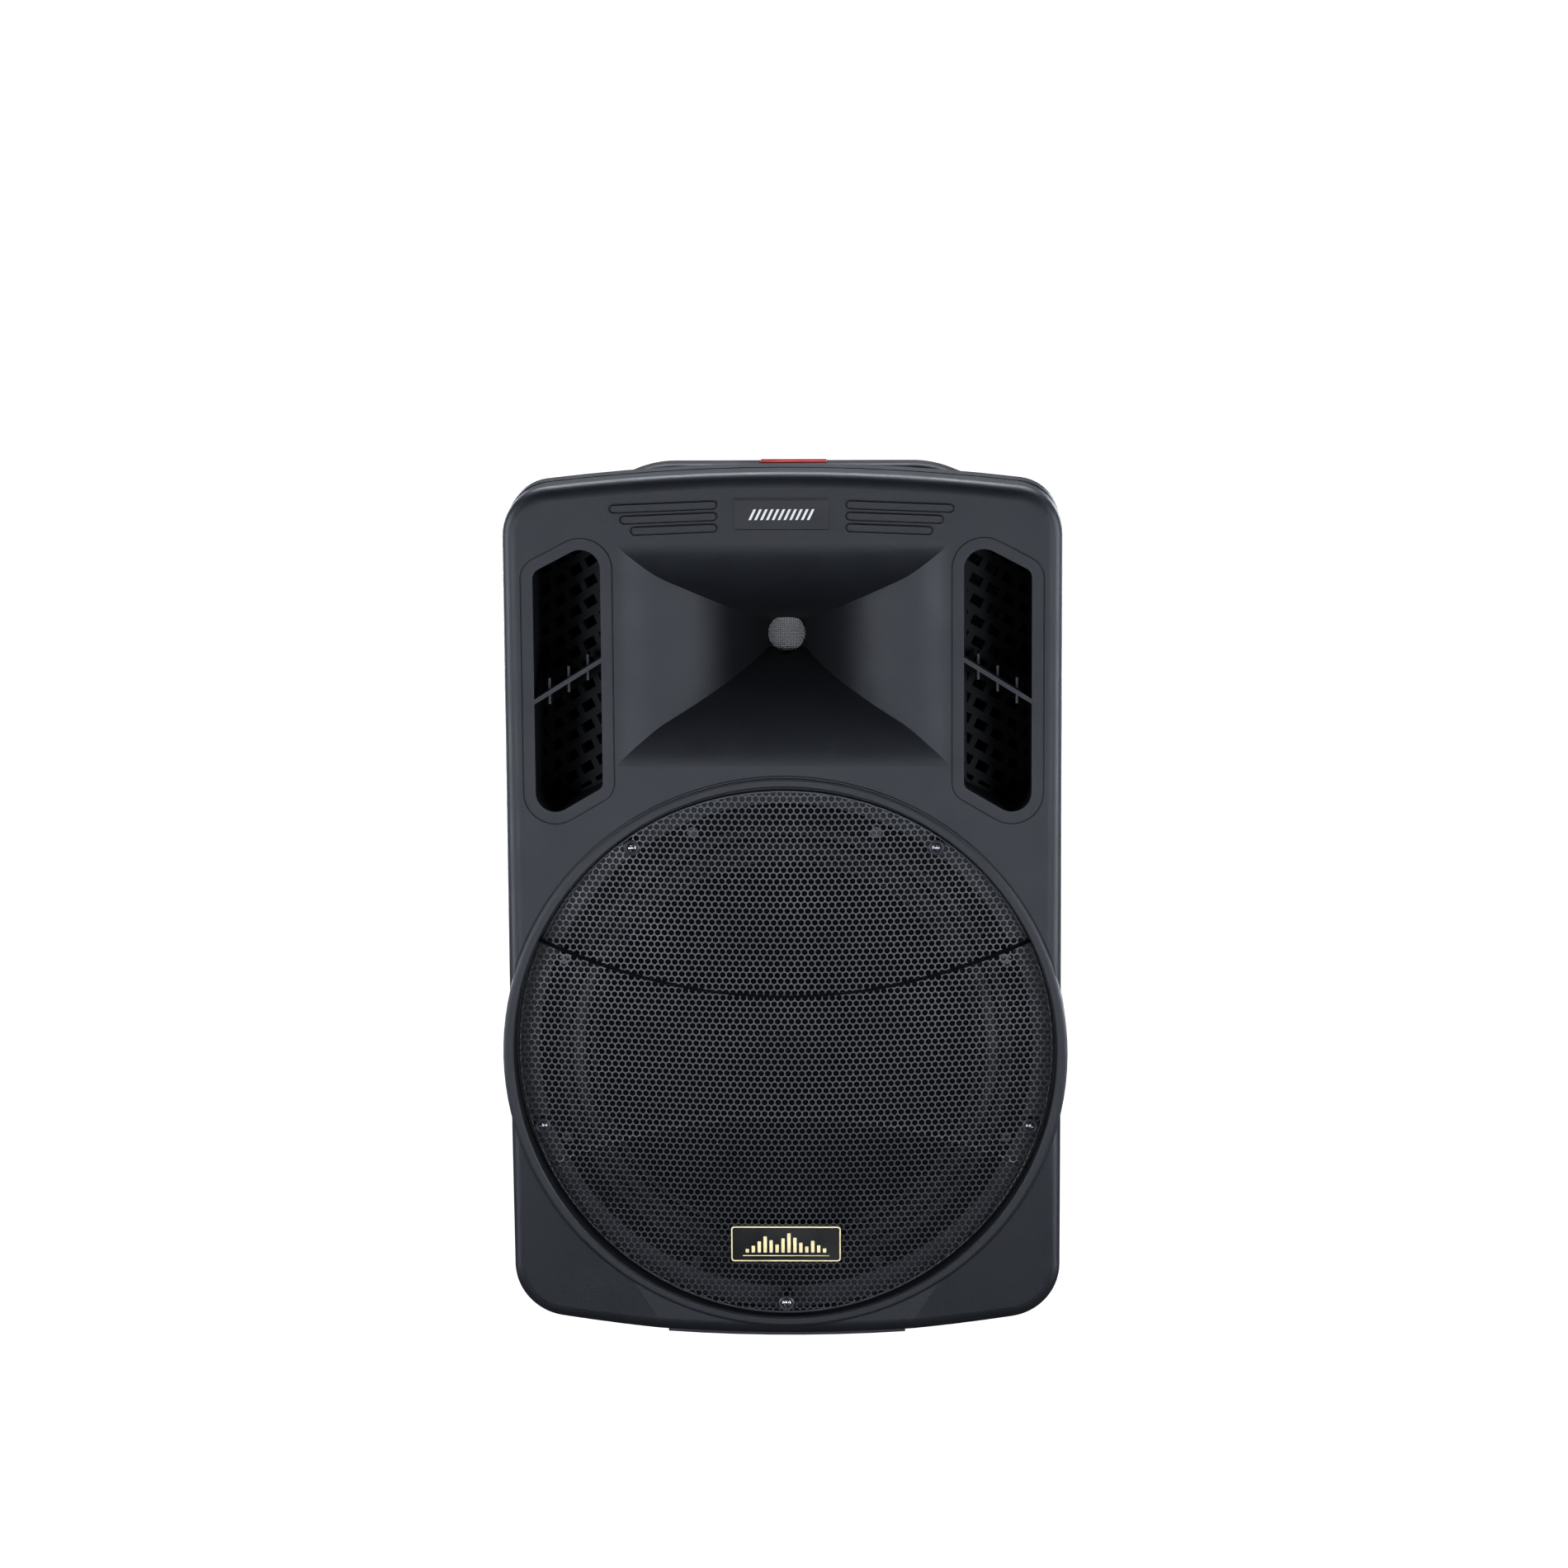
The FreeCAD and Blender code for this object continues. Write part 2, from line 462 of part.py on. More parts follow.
def seam_gasket():
    """A rubber band in the seam, with a pierced lug at each screw."""
    def band(inset):
        return cabinet_wire(FRONT_DEPTH, HALF_WIDTH, CROWN_Z, SOLE_Z, inset)
    parts = [prism(band(1.6), SEAM).cut(prism(band(3.9), SEAM))]
    inside = prism(band(1.6), SEAM)
    for x, z in SHELL_SCREWS:
        lug = rod(x, z, FRONT_DEPTH, FRONT_DEPTH + SEAM, 6.0)
        if abs(x) > 180:
            side = math.copysign(1, x)
            x0, x1 = sorted((x, side * HALF_WIDTH))
            tongue = box(x0, x1, FRONT_DEPTH, FRONT_DEPTH + SEAM, z - 6, z + 6)
        else:
            z0, z1 = (z, CROWN_Z) if z > SPEAKER_Z else (SOLE_Z, z)
            tongue = box(x - 6, x + 6, FRONT_DEPTH, FRONT_DEPTH + SEAM, z0, z1)
        parts.append(lug.fuse(tongue).common(inside))
    holes = [rod(x, z, FRONT_DEPTH - 1, FRONT_DEPTH + SEAM + 1, 2.3) for x, z in SHELL_SCREWS]
    return fuse(parts).cut(Part.makeCompound(holes))


def shell_screws():
    return screws([(x, z, WELL_D) for x, z in SHELL_SCREWS], 4.5, 3.0, 2.0, 42.0, towards=-1)


# ---- grille, badge and plate --------------------------------------------------------------
def speaker_grille():
    """The bowed steel skin as a plain plate, with a rolled rim."""
    rows = []
    for i in range(25):
        x = -220 + 440 * i / 24
        heights = [SPEAKER_Z - 220 + 440 * j / 24 for j in range(25)]
        rows.append([point(x, grille_depth(x, z), z) for z in heights])
    skin = Part.BSplineSurface()
    skin.interpolate(rows)
    plate = skin.toShape().extrude(V(0, GRILLE_T, 0)).common(rod(0, SPEAKER_Z, -20, 60, GRILLE_R))
    dimples = []
    for angle in GRILLE_SCREW_ANGLES:
        x, z = on_circle(GRILLE_SCREW_R, angle)
        dimples.append(rod(x, z, -20, 60, 1.9))
    return plate.cut(Part.makeCompound(dimples))


def grille_screws():
    """Screws in cup washers, sunk a little into the grille."""
    made = []
    for angle in GRILLE_SCREW_ANGLES:
        x, z = on_circle(GRILLE_SCREW_R, angle)
        seat = grille_depth(x, z) - 0.9
        made.append(screws([(x, z, seat)], 3.6, 1.8, 1.7, 10.0))
    return Part.makeCompound([s for group in made for s in group.Solids])


def grille_badge():
    """A flat plate glued to the foremost part of the bowed grille."""
    z, half_w, half_h, thick, gap = BADGE_Z, 42.5, 14.0, 2.4, 0.1
    front = grille_depth(0, z + half_h) - thick - gap
    corners = [(-half_w, z + half_h, 2.5), (half_w, z + half_h, 2.5), (half_w, z - half_h, 2.5),
               (-half_w, z - half_h, 2.5)]
    return prism(rounded_wire(corners, front), thick)


def name_plate():
    z = 645.7
    corners = [(-36, z + 12.5, 1.0), (36, z + 12.5, 1.0), (36, z - 12.5, 1.0), (-36, z - 12.5, 1.0)]
    return prism(rounded_wire(corners, -0.8), 0.8)


# ---- woofer -------------------------------------------------------------------------------
def woofer_basket():
    d0 = FLOOR_D - 5
    outline = [(160, d0), (190.5, d0), (190.5, FLOOR_D), (173, FLOOR_D), (88, 104), (88, 109), (40, 109),
               (40, 106), (84, 106), (84, 101), (90, 97.5), (168, 30.5), (160, 29)]
    basket = ring_about(outline)
    windows = []
    for i in range(6):
        window = box(-34, 34, 38, 94, 60, 200)
        window.rotate(point(0, 0, 0), Y, 30 + 60 * i)
        window.translate(V(0, 0, SPEAKER_Z))
        windows.append(window)
    holes = [rod(x, z, 0, 60, 2.55) for x, z in woofer_screw_places()]
    return basket.cut(Part.makeCompound(windows + holes))


def woofer_surround():
    """A half-roll rubber surround between the cone and the basket."""
    d0, middle, r_out, r_in = FLOOR_D - 5, 159.0, 8.5, 7.3
    roll = []
    for radius, order in ((r_out, 1), (r_in, -1)):
        steps = range(0, 13)
        pts = [(middle + radius * math.cos(math.pi * k / 12), d0 - 1.2 - radius * math.sin(math.pi * k / 12))
               for k in steps]
        roll.append(pts[::order])
    (outer, inner) = roll
    outline = [(175, d0), (175, d0 - 1.2)] + outer + [(147, d0 - 1.2), (147, d0)] + [(middle - r_in, d0)]
    outline += inner + [(middle + r_in, d0)]
    return ring_about(outline)


def woofer_cone():
    d0 = FLOOR_D - 5
    return ring_about([(149.5, d0), (149.5, d0 + 1.2), (146, d0 + 1.4), (38.2, 79), (38.2, 77.6), (145, d0)])


def woofer_dust_cap():
    depth0, rise, r = 70.0, 13.0, 49.0
    big = (r * r + rise * rise) / (2 * rise)
    outline = []
    for radius, steps in ((big, range(9)), (big - 1.0, range(8, -1, -1))):
        for k in steps:
            a = math.asin(r / big) * k / 8
            outline.append((radius * math.sin(a), depth0 - rise + big - radius * math.cos(a)))
    return ring_about(outline)


def woofer_spider():
    """A corrugated ring that centres the voice coil."""
    top, low = [], []
    for k in range(0, 21):
        r = 38.3 + (83.7 - 38.3) * k / 20
        wave = 1.5 * math.sin(math.pi * k / 2)
        top.append((r, 97.0 + wave))
        low.append((r, 98.0 + wave))
    return ring_about(top + low[::-1])


def woofer_voice_coil():
    return ring_about([(37, 77.6), (38.2, 77.6), (38.2, 122), (37, 122)])


def woofer_top_plate():
    return ring_about([(39.5, 109), (75, 109), (75, 117), (39.5, 117)])


def woofer_magnet():
    return ring_about([(46, 117), (85, 117), (85, 141), (46, 141)])


def woofer_yoke():
    return ring_about([(10, 109), (36, 109), (36, 141), (79, 141), (79, 149), (10, 149)])


def woofer_screws():
    return screws([(x, z, FLOOR_D - 5) for x, z in woofer_screw_places()], 4.4, 2.8, 2.5, 14.0)


# ---- high-frequency driver and electronics ------------------------------------------------
def compression_driver():
    d = THROAT_D
    outline = [(THROAT_R - 2.3, d), (40, d), (40, d + 5), (33, d + 5), (33, d + 12), (46, d + 12),
               (46, d + 40),
               (41, d + 46), (30, d + 52), (0.5, d + 52), (0.5, d + 45), (THROAT_R - 2.3, d + 42)]
    body = ring_about(outline, HORN_Z)
    return body.cut(Part.makeCompound([rod(x, z, d - 1, d + 4, 2.55) for x, z in driver_screw_places()]))


def throat_screen():
    return rod(0, HORN_Z, THROAT_D - 3.6, THROAT_D - 3.0, THROAT_R)


def crossover_board():
    """A circuit board on four posts, with two coils and four capacitors."""
    board = box(-60, 60, 300, 301.6, 112, 190)
    parts = [board]
    parts += [rod(x, z, 301.0, 325.0, 4) for x in (-50, 50) for z in (120, 182)]
    parts += [rod(x, 168, 286, 300.5, 17) for x in (-30, 24)]
    parts += [rod(-42 + 22 * i, 132, 276, 300.5, 7) for i in range(4)]
    return fuse(parts)


def amp_board():
    board = box(-82, 82, 300, 301.6, 345, 518)
    parts = [board]
    parts += [rod(x, z, 301.0, REAR_D - PANEL_T, 3.5) for x in (-76, 76) for z in (352, 512)]
    parts += [rod(x, 368, 268, 300.5, 12) for x in (-58, -28, 28, 58)]
    return fuse(parts)


def amp_heatsink():
    base = box(-70, 70, 294, 300, 400, 500)
    fins = [box(-70 + 10 * i, -67.5 + 10 * i, 262, 295, 400, 500) for i in range(15)]
    return fuse([base] + fins)


def power_transformer():
    """A laminated core with its coil and its mounting foot."""
    core = box(-80, -14, 248, 302, 236, 306).fuse(box(-80, -14, 300, 322, 276, 306))
    coil = box(-86, -8, 254, 300, 252, 290)
    feet = box(-84, -10, 320, REAR_D - PANEL_T, 276, 308)
    return fuse([core, coil, feet])


def battery():
    case = box(-75.5, 75.5, 200, 265, 20, 114)
    posts = [box(x - 3, x + 3, 208, 220, 113, 119) for x in (-62, 62)]
    return fuse([case] + posts)


def battery_strap():
    outer = box(-12, 12, 198.2, 266.8, 20, 115.8)
    inner = box(-13, 13, 199.8, 265.2, 19, 114.2)
    feet = [box(-12, 12, 196.2, 199.8, 20, 21.6), box(-12, 12, 265.2, 271.5, 20, 21.6)]
    return fuse([outer.cut(inner)] + feet)


def panel_screw_places():
    return [(x, z) for x in (-93, 93) for z in (212, 316, 424, 528)]


def inlet_block():
    x, z = INLET
    return box(x - 14, x + 14, 304, REAR_D + 2, z - 20, z + 20)


def mains_inlet():
    """A three-pin mains inlet with a fuse drawer above it."""
    x, z = INLET
    flange = box(x - 17, x + 17, REAR_D, REAR_D + 2, z - 24, z + 24)
    socket = box(x - 12.2, x + 12.2, 312, 340, z - 18, z - 2)
    pins = [box(x + dx - 1, x + dx + 1, 311, 326, z + dz - 2, z + dz + 2)
            for dx, dz in ((-7, -12), (7, -12), (0, -7))]
    drawer = box(x - 11, x + 11, REAR_D + 1.5, REAR_D + 4, z + 4, z + 18)
    return fuse([fuse([flange, inlet_block()]).cut(socket), drawer] + pins)


def input_jacks():
    made = []
    for x, z in JACKS:
        flange = box(x - 13, x + 13, REAR_D, REAR_D + 2, z - 15.5, z + 15.5)
        body = fuse([flange, rod(x, z, 308, REAR_D + 4, 11.6)])
        body = body.cut(rod(x, z, 313, 340, JACK_R))
        made.append(fuse([body, rod(x, z, 312, 318, 4.5)]))
    return Part.makeCompound(made)


def amp_panel():
    plate = box(-PANEL_HALF, PANEL_HALF, REAR_D - PANEL_T, REAR_D, PANEL_Z0, PANEL_Z1)
    cuts = [rod(x, z, 320, 340, KNOB_SHAFT_R + RUN_CLEARANCE) for x, z in KNOBS.values()]
    for x, z in ROCKERS.values():
        cuts.append(box(x - ROCKER_HALF_W - 0.5, x + ROCKER_HALF_W + 0.5, 320, 340, z - 13, z + 13))
    cuts += [rod(x, z, 320, 340, 11.7) for x, z in JACKS]
    x, z = INLET
    cuts.append(box(x - 14.1, x + 14.1, 320, 340, z - 20.1, z + 20.1))
    cuts.append(box(-46.1, 46.1, 320, 340, MEDIA_Z - 19.1, MEDIA_Z + 19.1))
    cuts += [rod(x, z, 320, 340, 1.8) for x, z in panel_screw_places()]
    cuts += [rod(x, 292, 320, 340, 1.55) for x in (20, 32, 44)]
    bezels = []
    for x, z in ROCKERS.values():
        frame = box(x - 10, x + 10, REAR_D, REAR_D + 1.5, z - 16, z + 16)
        bezels.append(frame)
    return fuse([plate] + bezels).cut(Part.makeCompound(cuts))


def panel_screws():
    return screws([(x, z, REAR_D) for x, z in panel_screw_places()], 3.6, 2.0, 1.7, 9.0, towards=-1)


def status_lights():
    return Part.makeCompound([rod(x, 292, REAR_D - 5, REAR_D + 1.2, 1.5) for x in (20, 32, 44)])


def media_player():
    bezel = box(-50, 50, REAR_D, REAR_D + 3, MEDIA_Z - 22, MEDIA_Z + 22)
    body = box(-46, 46, 303.0, REAR_D + 1, MEDIA_Z - 19, MEDIA_Z + 19)
    cuts = [rod(x, MEDIA_BUTTON_Z, REAR_D - 4, 340, MEDIA_BUTTON_R + 0.3) for x in MEDIA_BUTTONS.values()]
    cuts.append(box(-44, -4, REAR_D + 2.2, 340, MEDIA_Z - 4, MEDIA_Z + 14))
    cuts.append(box(4, 18, 312, 340, 480, 486))
    cuts.append(box(24, 44, 316, 340, 481.5, 484.5))
    return fuse([bezel, body]).cut(Part.makeCompound(cuts))


def media_display():
    return box(-43.8, -4.2, REAR_D + 2.2, REAR_D + 3.2, MEDIA_Z - 3.8, MEDIA_Z + 13.8)


def knob(x, z):
    """A turned knob with finger flutes and a pointer line, on its own shaft."""
    d0 = REAR_D + 1.0
    d1 = d0 + KNOB_LENGTH
    shape = fuse([rod(x, z, d0, d0 + 3, KNOB_R + 1.5), rod(x, z, d0, d1, KNOB_R)])
    flutes = []
    for i in range(12):
        a = math.radians(30 * i + 15)
        reach = KNOB_R + 0.8
        flutes.append(rod(x + reach * math.sin(a), z + reach * math.cos(a), d0 + 3, d1 + 1, 1.7))
    pointer = box(x - 0.7, x + 0.7, d1 - 0.8, d1 + 1, z + 2, z + KNOB_R + 2)
    shape = shape.cut(Part.makeCompound(flutes + [pointer]))
    return fuse([shape, rod(x, z, REAR_D - 8, d0 + 1, KNOB_SHAFT_R)])


def rocker(x, z):
    """A rocker that rests tipped to its off side."""
    axis_d = REAR_D - 8
    drum = pin(x - ROCKER_HALF_W, x + ROCKER_HALF_W, axis_d, z, ROCKER_R)
    drum = drum.common(box(x - 20, x + 20, axis_d - 5, axis_d + 30, z - ROCKER_HALF_H, z + ROCKER_HALF_H))
    drum = drum.cut(pin(x - 20, x + 20, axis_d + 25, z, 14.5))
    drum.rotate(point(x, axis_d, z), V(1, 0, 0), -ROCKER_TILT)
    return drum


def media_button(x):
    return rod(x, MEDIA_BUTTON_Z, REAR_D - 1, REAR_D + 5, MEDIA_BUTTON_R)


# ---- underside, carrying and rolling gear -------------------------------------------------
def pole_screw_places():
    return [(32 * math.cos(a), POLE_D + 32 * math.sin(a))
            for a in (math.pi / 4 + math.pi / 2 * i for i in range(4))]


def pole_socket():
    """A flanged cup for a speaker stand's pole."""
    flange = pillar(0, POLE_D, 5.0, 8.0, 42.0)
    cup = pillar(0, POLE_D, 5.0, 5.0 + POLE_LENGTH + 4.0, 20.5)
    bore = pillar(0, POLE_D, 4.0, 5.0 + POLE_LENGTH, POLE_R)
    holes = [pillar(x, d, 0, 20, 2.3) for x, d in pole_screw_places()]
    return fuse([flange, cup]).cut(bore).cut(Part.makeCompound(holes))


def pole_socket_screws():
    made = []
    for x, d in pole_screw_places():
        made.append(fuse([pillar(x, d, 3.0, 5.0, 4.2), pillar(x, d, 4.0, 22.0, 2.2)]))
    return Part.makeCompound(made)


def feet():
    made = []
    for x, d in FEET:
        foot = Part.makeCone(FOOT_R - 2.5, FOOT_R, FOOT_H, point(x, d, 0), Z)
        made.append(foot.cut(pillar(x, d, -1, 3, 5.0)))
    return Part.makeCompound(made)


def top_handle():
    """A rubber-clad bar across the pocket in the top."""
    bar = pin(-HANDLE_LENGTH + 0.1, HANDLE_LENGTH - 0.1, HANDLE_D, HANDLE_Z, HANDLE_R)
    ends = [box(x0, x0 + 5, HANDLE_D - 17, HANDLE_D + 17, HANDLE_Z - 17, HANDLE_Z + 17)
            for x0 in (-HANDLE_LENGTH + 0.1, HANDLE_LENGTH - 5.1)]
    return fuse([bar] + ends)


def trolley_outer_tubes():
    made = []
    for side in (-1, 1):
        x = TUBE_X * side
        tube = pillar(x, TUBE_D, CHANNEL_Z0 + 0.1, 600, OUTER_TUBE_R).cut(
            pillar(x, TUBE_D, CHANNEL_Z0 + 3, 601, OUTER_TUBE_BORE_R))
        made.append(tube)
    return Part.makeCompound(made)


def trolley_guides():
    """Collars at the top and foot of each outer tube, which fill its channel."""
    made = []
    for side in (-1, 1):
        x = TUBE_X * side
        block = box(x - CHANNEL_HALF + 0.1, x + CHANNEL_HALF - 0.1, CHANNEL_D0 + 0.1, REAR_D, 586, 617.5)
        block = block.cut(pillar(x, TUBE_D, 580, 600.1, OUTER_TUBE_R + RUN_CLEARANCE))
        made.append(block.cut(pillar(x, TUBE_D, 590, 640, INNER_TUBE_R + RUN_CLEARANCE)))
        base = box(x - CHANNEL_HALF + 0.1, x + CHANNEL_HALF - 0.1, CHANNEL_D0 + 0.1, REAR_D, 80, 108)
        made.append(base.cut(pillar(x, TUBE_D, 60, 140, OUTER_TUBE_R + RUN_CLEARANCE)))
    return Part.makeCompound(made)


def trolley_inner_tubes():
    made = []
    for side in (-1, 1):
        x = TUBE_X * side
        slider = pillar(x, TUBE_D, 130, 150, OUTER_TUBE_BORE_R - 0.08)
        tube = fuse([pillar(x, TUBE_D, 130, 636, INNER_TUBE_R), slider])
        made.append(tube.cut(pillar(x, TUBE_D, 129, 637, INNER_TUBE_R - 1.5)))
    return Part.makeCompound(made)


def trolley_grip():
    """The pull bar, arched along its top, with a pocket for the release button."""
    flat, arch_r, shoulder, edge_r, gap = 113.0, 85.0, GRIP_Z1 - 11, 6.0, 0.4
    corners = [(-flat, GRIP_Z1, arch_r), (flat, GRIP_Z1, arch_r), (GRIP_HALF, shoulder, 6),
               (GRIP_HALF, GRIP_Z0, 3), (-GRIP_HALF, GRIP_Z0, 3), (-GRIP_HALF, shoulder, 6)]
    bar = prism(rounded_wire(corners, GRIP_D0), GRIP_D1 - GRIP_D0)
    long_edges = [e for e in bar.Edges if abs(e.BoundBox.YMax - e.BoundBox.YMin) < 0.01
                  and e.BoundBox.ZMax > GRIP_Z0 + 4]
    bar = bar.makeFillet(edge_r, long_edges)
    cuts = [pillar(x, TUBE_D, 600, 636.0, INNER_TUBE_R + 0.03) for x in (-TUBE_X, TUBE_X)]
    half = BUTTON_HALF + gap
    cuts.append(box(-half, half, BUTTON_D0 - gap, BUTTON_D1 + gap, BUTTON_Z0 - 4.5, GRIP_Z1 + 10))
    return bar.cut(Part.makeCompound(cuts))


def release_button():
    top = GRIP_Z1 + BUTTON_PROUD
    button = box(-BUTTON_HALF, BUTTON_HALF, BUTTON_D0, BUTTON_D1, BUTTON_Z0, top)
    rim = [e for e in button.Edges if e.BoundBox.ZMin > top - 0.01]
    return button.makeFillet(1.2, rim)


def wheel_axle():
    return pin(-213, 213, WHEEL_D, WHEEL_Z, AXLE_R)


def axle_caps():
    made = []
    for x0, hole in ((-216.0, -213.0), (209.6, 209.0)):
        cap = pin(x0, x0 + 6.4, WHEEL_D, WHEEL_Z, 10)
        made.append(cap.cut(pin(hole, hole + 4.0, WHEEL_D, WHEEL_Z, AXLE_R + 0.02)))
    return Part.makeCompound(made)


def wheel_hub(side):
    """A five-spoke plastic hub that turns on the fixed axle."""
    outline = [(AXLE_R + RUN_CLEARANCE, 192), (12, 192), (12, 196), (27, 196), (27, 192), (HUB_R, 192),
               (HUB_R, 213), (27, 213), (27, 207), (12, 207), (12, 209.3), (AXLE_R + RUN_CLEARANCE, 209.3)]
    points = [V(x, FACE_Y + WHEEL_D, WHEEL_Z + r) for r, x in outline]
    profile = Part.Face(Part.makePolygon(points + points[:1]))
    hub = profile.revolve(point(0, WHEEL_D, WHEEL_Z), V(1, 0, 0), 360)
    windows = []
    for i in range(5):
        a = math.radians(72 * i)
        windows.append(pin(150, 250, WHEEL_D + 19.5 * math.sin(a), WHEEL_Z + 19.5 * math.cos(a), 5.2))
    hub = hub.cut(Part.makeCompound(windows))
    return hub if side > 0 else mirror_x(hub)


def tyre(side):
    outline = [(HUB_R, TYRE_X0 + 2), (HUB_R + 4, TYRE_X0), (WHEEL_R - 5, TYRE_X0),
               (WHEEL_R - 1.5, TYRE_X0 + 2.5), (WHEEL_R, TYRE_X0 + 7), (WHEEL_R, TYRE_X1 - 7),
               (WHEEL_R - 1.5, TYRE_X1 - 2.5), (WHEEL_R - 5, TYRE_X1), (HUB_R + 4, TYRE_X1), (HUB_R, TYRE_X1 - 2)]
    points = [V(x, FACE_Y + WHEEL_D, WHEEL_Z + r) for r, x in outline]
    profile = Part.Face(Part.makePolygon(points + points[:1]))
    shape = profile.revolve(point(0, WHEEL_D, WHEEL_Z), V(1, 0, 0), 360)
    return shape if side > 0 else mirror_x(shape)


# ---- write every node ---------------------------------------------------------------------
def main():
    lattice = port_lattice()
    makers = [front_baffle, rear_shell, seam_gasket, shell_screws, speaker_grille, grille_screws, grille_badge,
              name_plate, woofer_basket, woofer_surround, woofer_cone, woofer_dust_cap, woofer_spider,
              woofer_voice_coil, woofer_top_plate, woofer_magnet, woofer_yoke, woofer_screws, compression_driver,
              throat_screen, crossover_board, amp_board, amp_heatsink, power_transformer, battery, battery_strap,
              mains_inlet, input_jacks, amp_panel, panel_screws, status_lights, media_player, media_display,
              pole_socket, pole_socket_screws, feet, top_handle, trolley_outer_tubes, trolley_guides,
              trolley_inner_tubes, trolley_grip, release_button, wheel_axle, axle_caps]
    nodes = {maker.__name__: maker() for maker in makers}
    nodes.update({"port_lattice_right": lattice, "port_lattice_left": mirror_x(lattice)})
    nodes.update({"wheel_hub_left": wheel_hub(-1), "wheel_hub_right": wheel_hub(1)})
    nodes.update({"tyre_left": tyre(-1), "tyre_right": tyre(1)})
    nodes.update({name: knob(*place) for name, place in KNOBS.items()})
    nodes.update({name: rocker(*place) for name, place in ROCKERS.items()})
    nodes.update({name: media_button(x) for name, x in MEDIA_BUTTONS.items()})
    os.makedirs("parts", exist_ok=True)
    for name, shape in nodes.items():
        shape.exportStep(f"parts/{name}.step")
        print(f"{name:24s} solids {len(shape.Solids)} valid {shape.isValid()} {shape.Volume / 1000:9.2f} cm3")


main()
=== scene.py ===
"""Looks for the portable PA speaker cabinet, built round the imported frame. Metres, +Z up, front at -Y."""
import json
import math

import bpy
import numpy as np
from mathutils import Matrix, Vector


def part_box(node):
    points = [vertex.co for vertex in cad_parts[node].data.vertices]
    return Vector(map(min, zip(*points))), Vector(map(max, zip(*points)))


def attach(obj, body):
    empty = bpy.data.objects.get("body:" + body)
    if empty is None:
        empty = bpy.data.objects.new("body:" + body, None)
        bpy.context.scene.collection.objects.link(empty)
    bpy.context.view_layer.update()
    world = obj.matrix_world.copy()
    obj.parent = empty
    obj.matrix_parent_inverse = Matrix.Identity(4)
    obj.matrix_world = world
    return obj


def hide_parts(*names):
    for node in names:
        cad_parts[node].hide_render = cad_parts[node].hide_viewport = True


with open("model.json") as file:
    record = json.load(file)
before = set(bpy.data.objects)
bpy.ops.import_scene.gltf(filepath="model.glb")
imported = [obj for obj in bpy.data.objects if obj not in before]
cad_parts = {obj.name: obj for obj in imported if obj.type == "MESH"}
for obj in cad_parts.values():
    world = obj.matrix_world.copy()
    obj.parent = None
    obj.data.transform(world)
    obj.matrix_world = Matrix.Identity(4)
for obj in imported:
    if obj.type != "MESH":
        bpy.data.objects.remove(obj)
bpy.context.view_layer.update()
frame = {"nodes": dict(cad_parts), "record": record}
MM = 0.001

# ---- places taken from the frame ----------------------------------------------------------
FACE_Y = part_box("name_plate")[1].y
GRILLE_LOW, GRILLE_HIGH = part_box("speaker_grille")
GRILLE_R = (GRILLE_HIGH.x - GRILLE_LOW.x) / 2
GRILLE_Z = (GRILLE_HIGH.z + GRILLE_LOW.z) / 2
GRILLE_FRONT_Y = FACE_Y - 6 * MM
KNOBS = ["mic_volume_knob", "line_volume_knob", "bass_knob", "treble_knob", "master_volume_knob"]

# ---- the bowed grille's form, as in the frame, and what is pressed and punched in it ---------
GRILLE_BOW, BOW_LENGTH = 19.66 * MM, 98 * MM
LEAN_UP, LEAN_DOWN = 5 * MM, 9 * MM
HOLE_PITCH, HOLE_R, SHEET_T = 5.25 * MM, 2.26 * MM, 1.1 * MM
UPPER_CREASE_Z, UPPER_CREASE_RISE = 276 * MM, 40 * MM
LOWER_CREASE_Z, LOWER_CREASE_FALL = 179 * MM, 47 * MM
CREASE_HALF_SPAN, CREASE_STEP, CREASE_WIDTH = 189 * MM, 3.0 * MM, 3.2 * MM
SKIN_R = GRILLE_R - 0.4 * MM
LOWER_SKIN_TOP, MIDDLE_SKIN_TOP = 171 * MM, 285 * MM
SCREW_CIRCLE_R, SCREW_CLEAR_R = 198.5 * MM, 5.2 * MM
SCREW_ANGLES = [36, 108, 180, 252, 324]

# ---- the throat's woven wire, and the marks printed on the rear panel -------------------------
WIRE_PITCH, WIRE_R = 1.15 * MM, 0.34 * MM
TICK_R, TICK_ANGLES = 14.2 * MM, range(-150, 151, 30)
RULE_HEIGHTS, RULE_LENGTH = [353 * MM, 277 * MM, 456 * MM], 168 * MM
PRINT_W, PRINT_RISE = 0.6 * MM, 0.08 * MM


# ---- materials ----------------------------------------------------------------------------
def noise(tree, mapping, scale, detail):
    """A noise in the object's own space."""
    node = tree.nodes.new("ShaderNodeTexNoise")
    node.inputs["Scale"].default_value = scale
    node.inputs["Detail"].default_value = detail
    tree.links.new(mapping.outputs["Vector"], node.inputs["Vector"])
    return node.outputs["Fac"]


def spread(tree, source, low, high):
    """The middle of a noise's range, stretched from low to high."""
    node = tree.nodes.new("ShaderNodeMapRange")
    node.inputs["From Min"].default_value = 0.3
    node.inputs["From Max"].default_value = 0.7
    node.inputs["To Min"].default_value = low
    node.inputs["To Max"].default_value = high
    tree.links.new(source, node.inputs["Value"])
    return node.outputs["Result"]


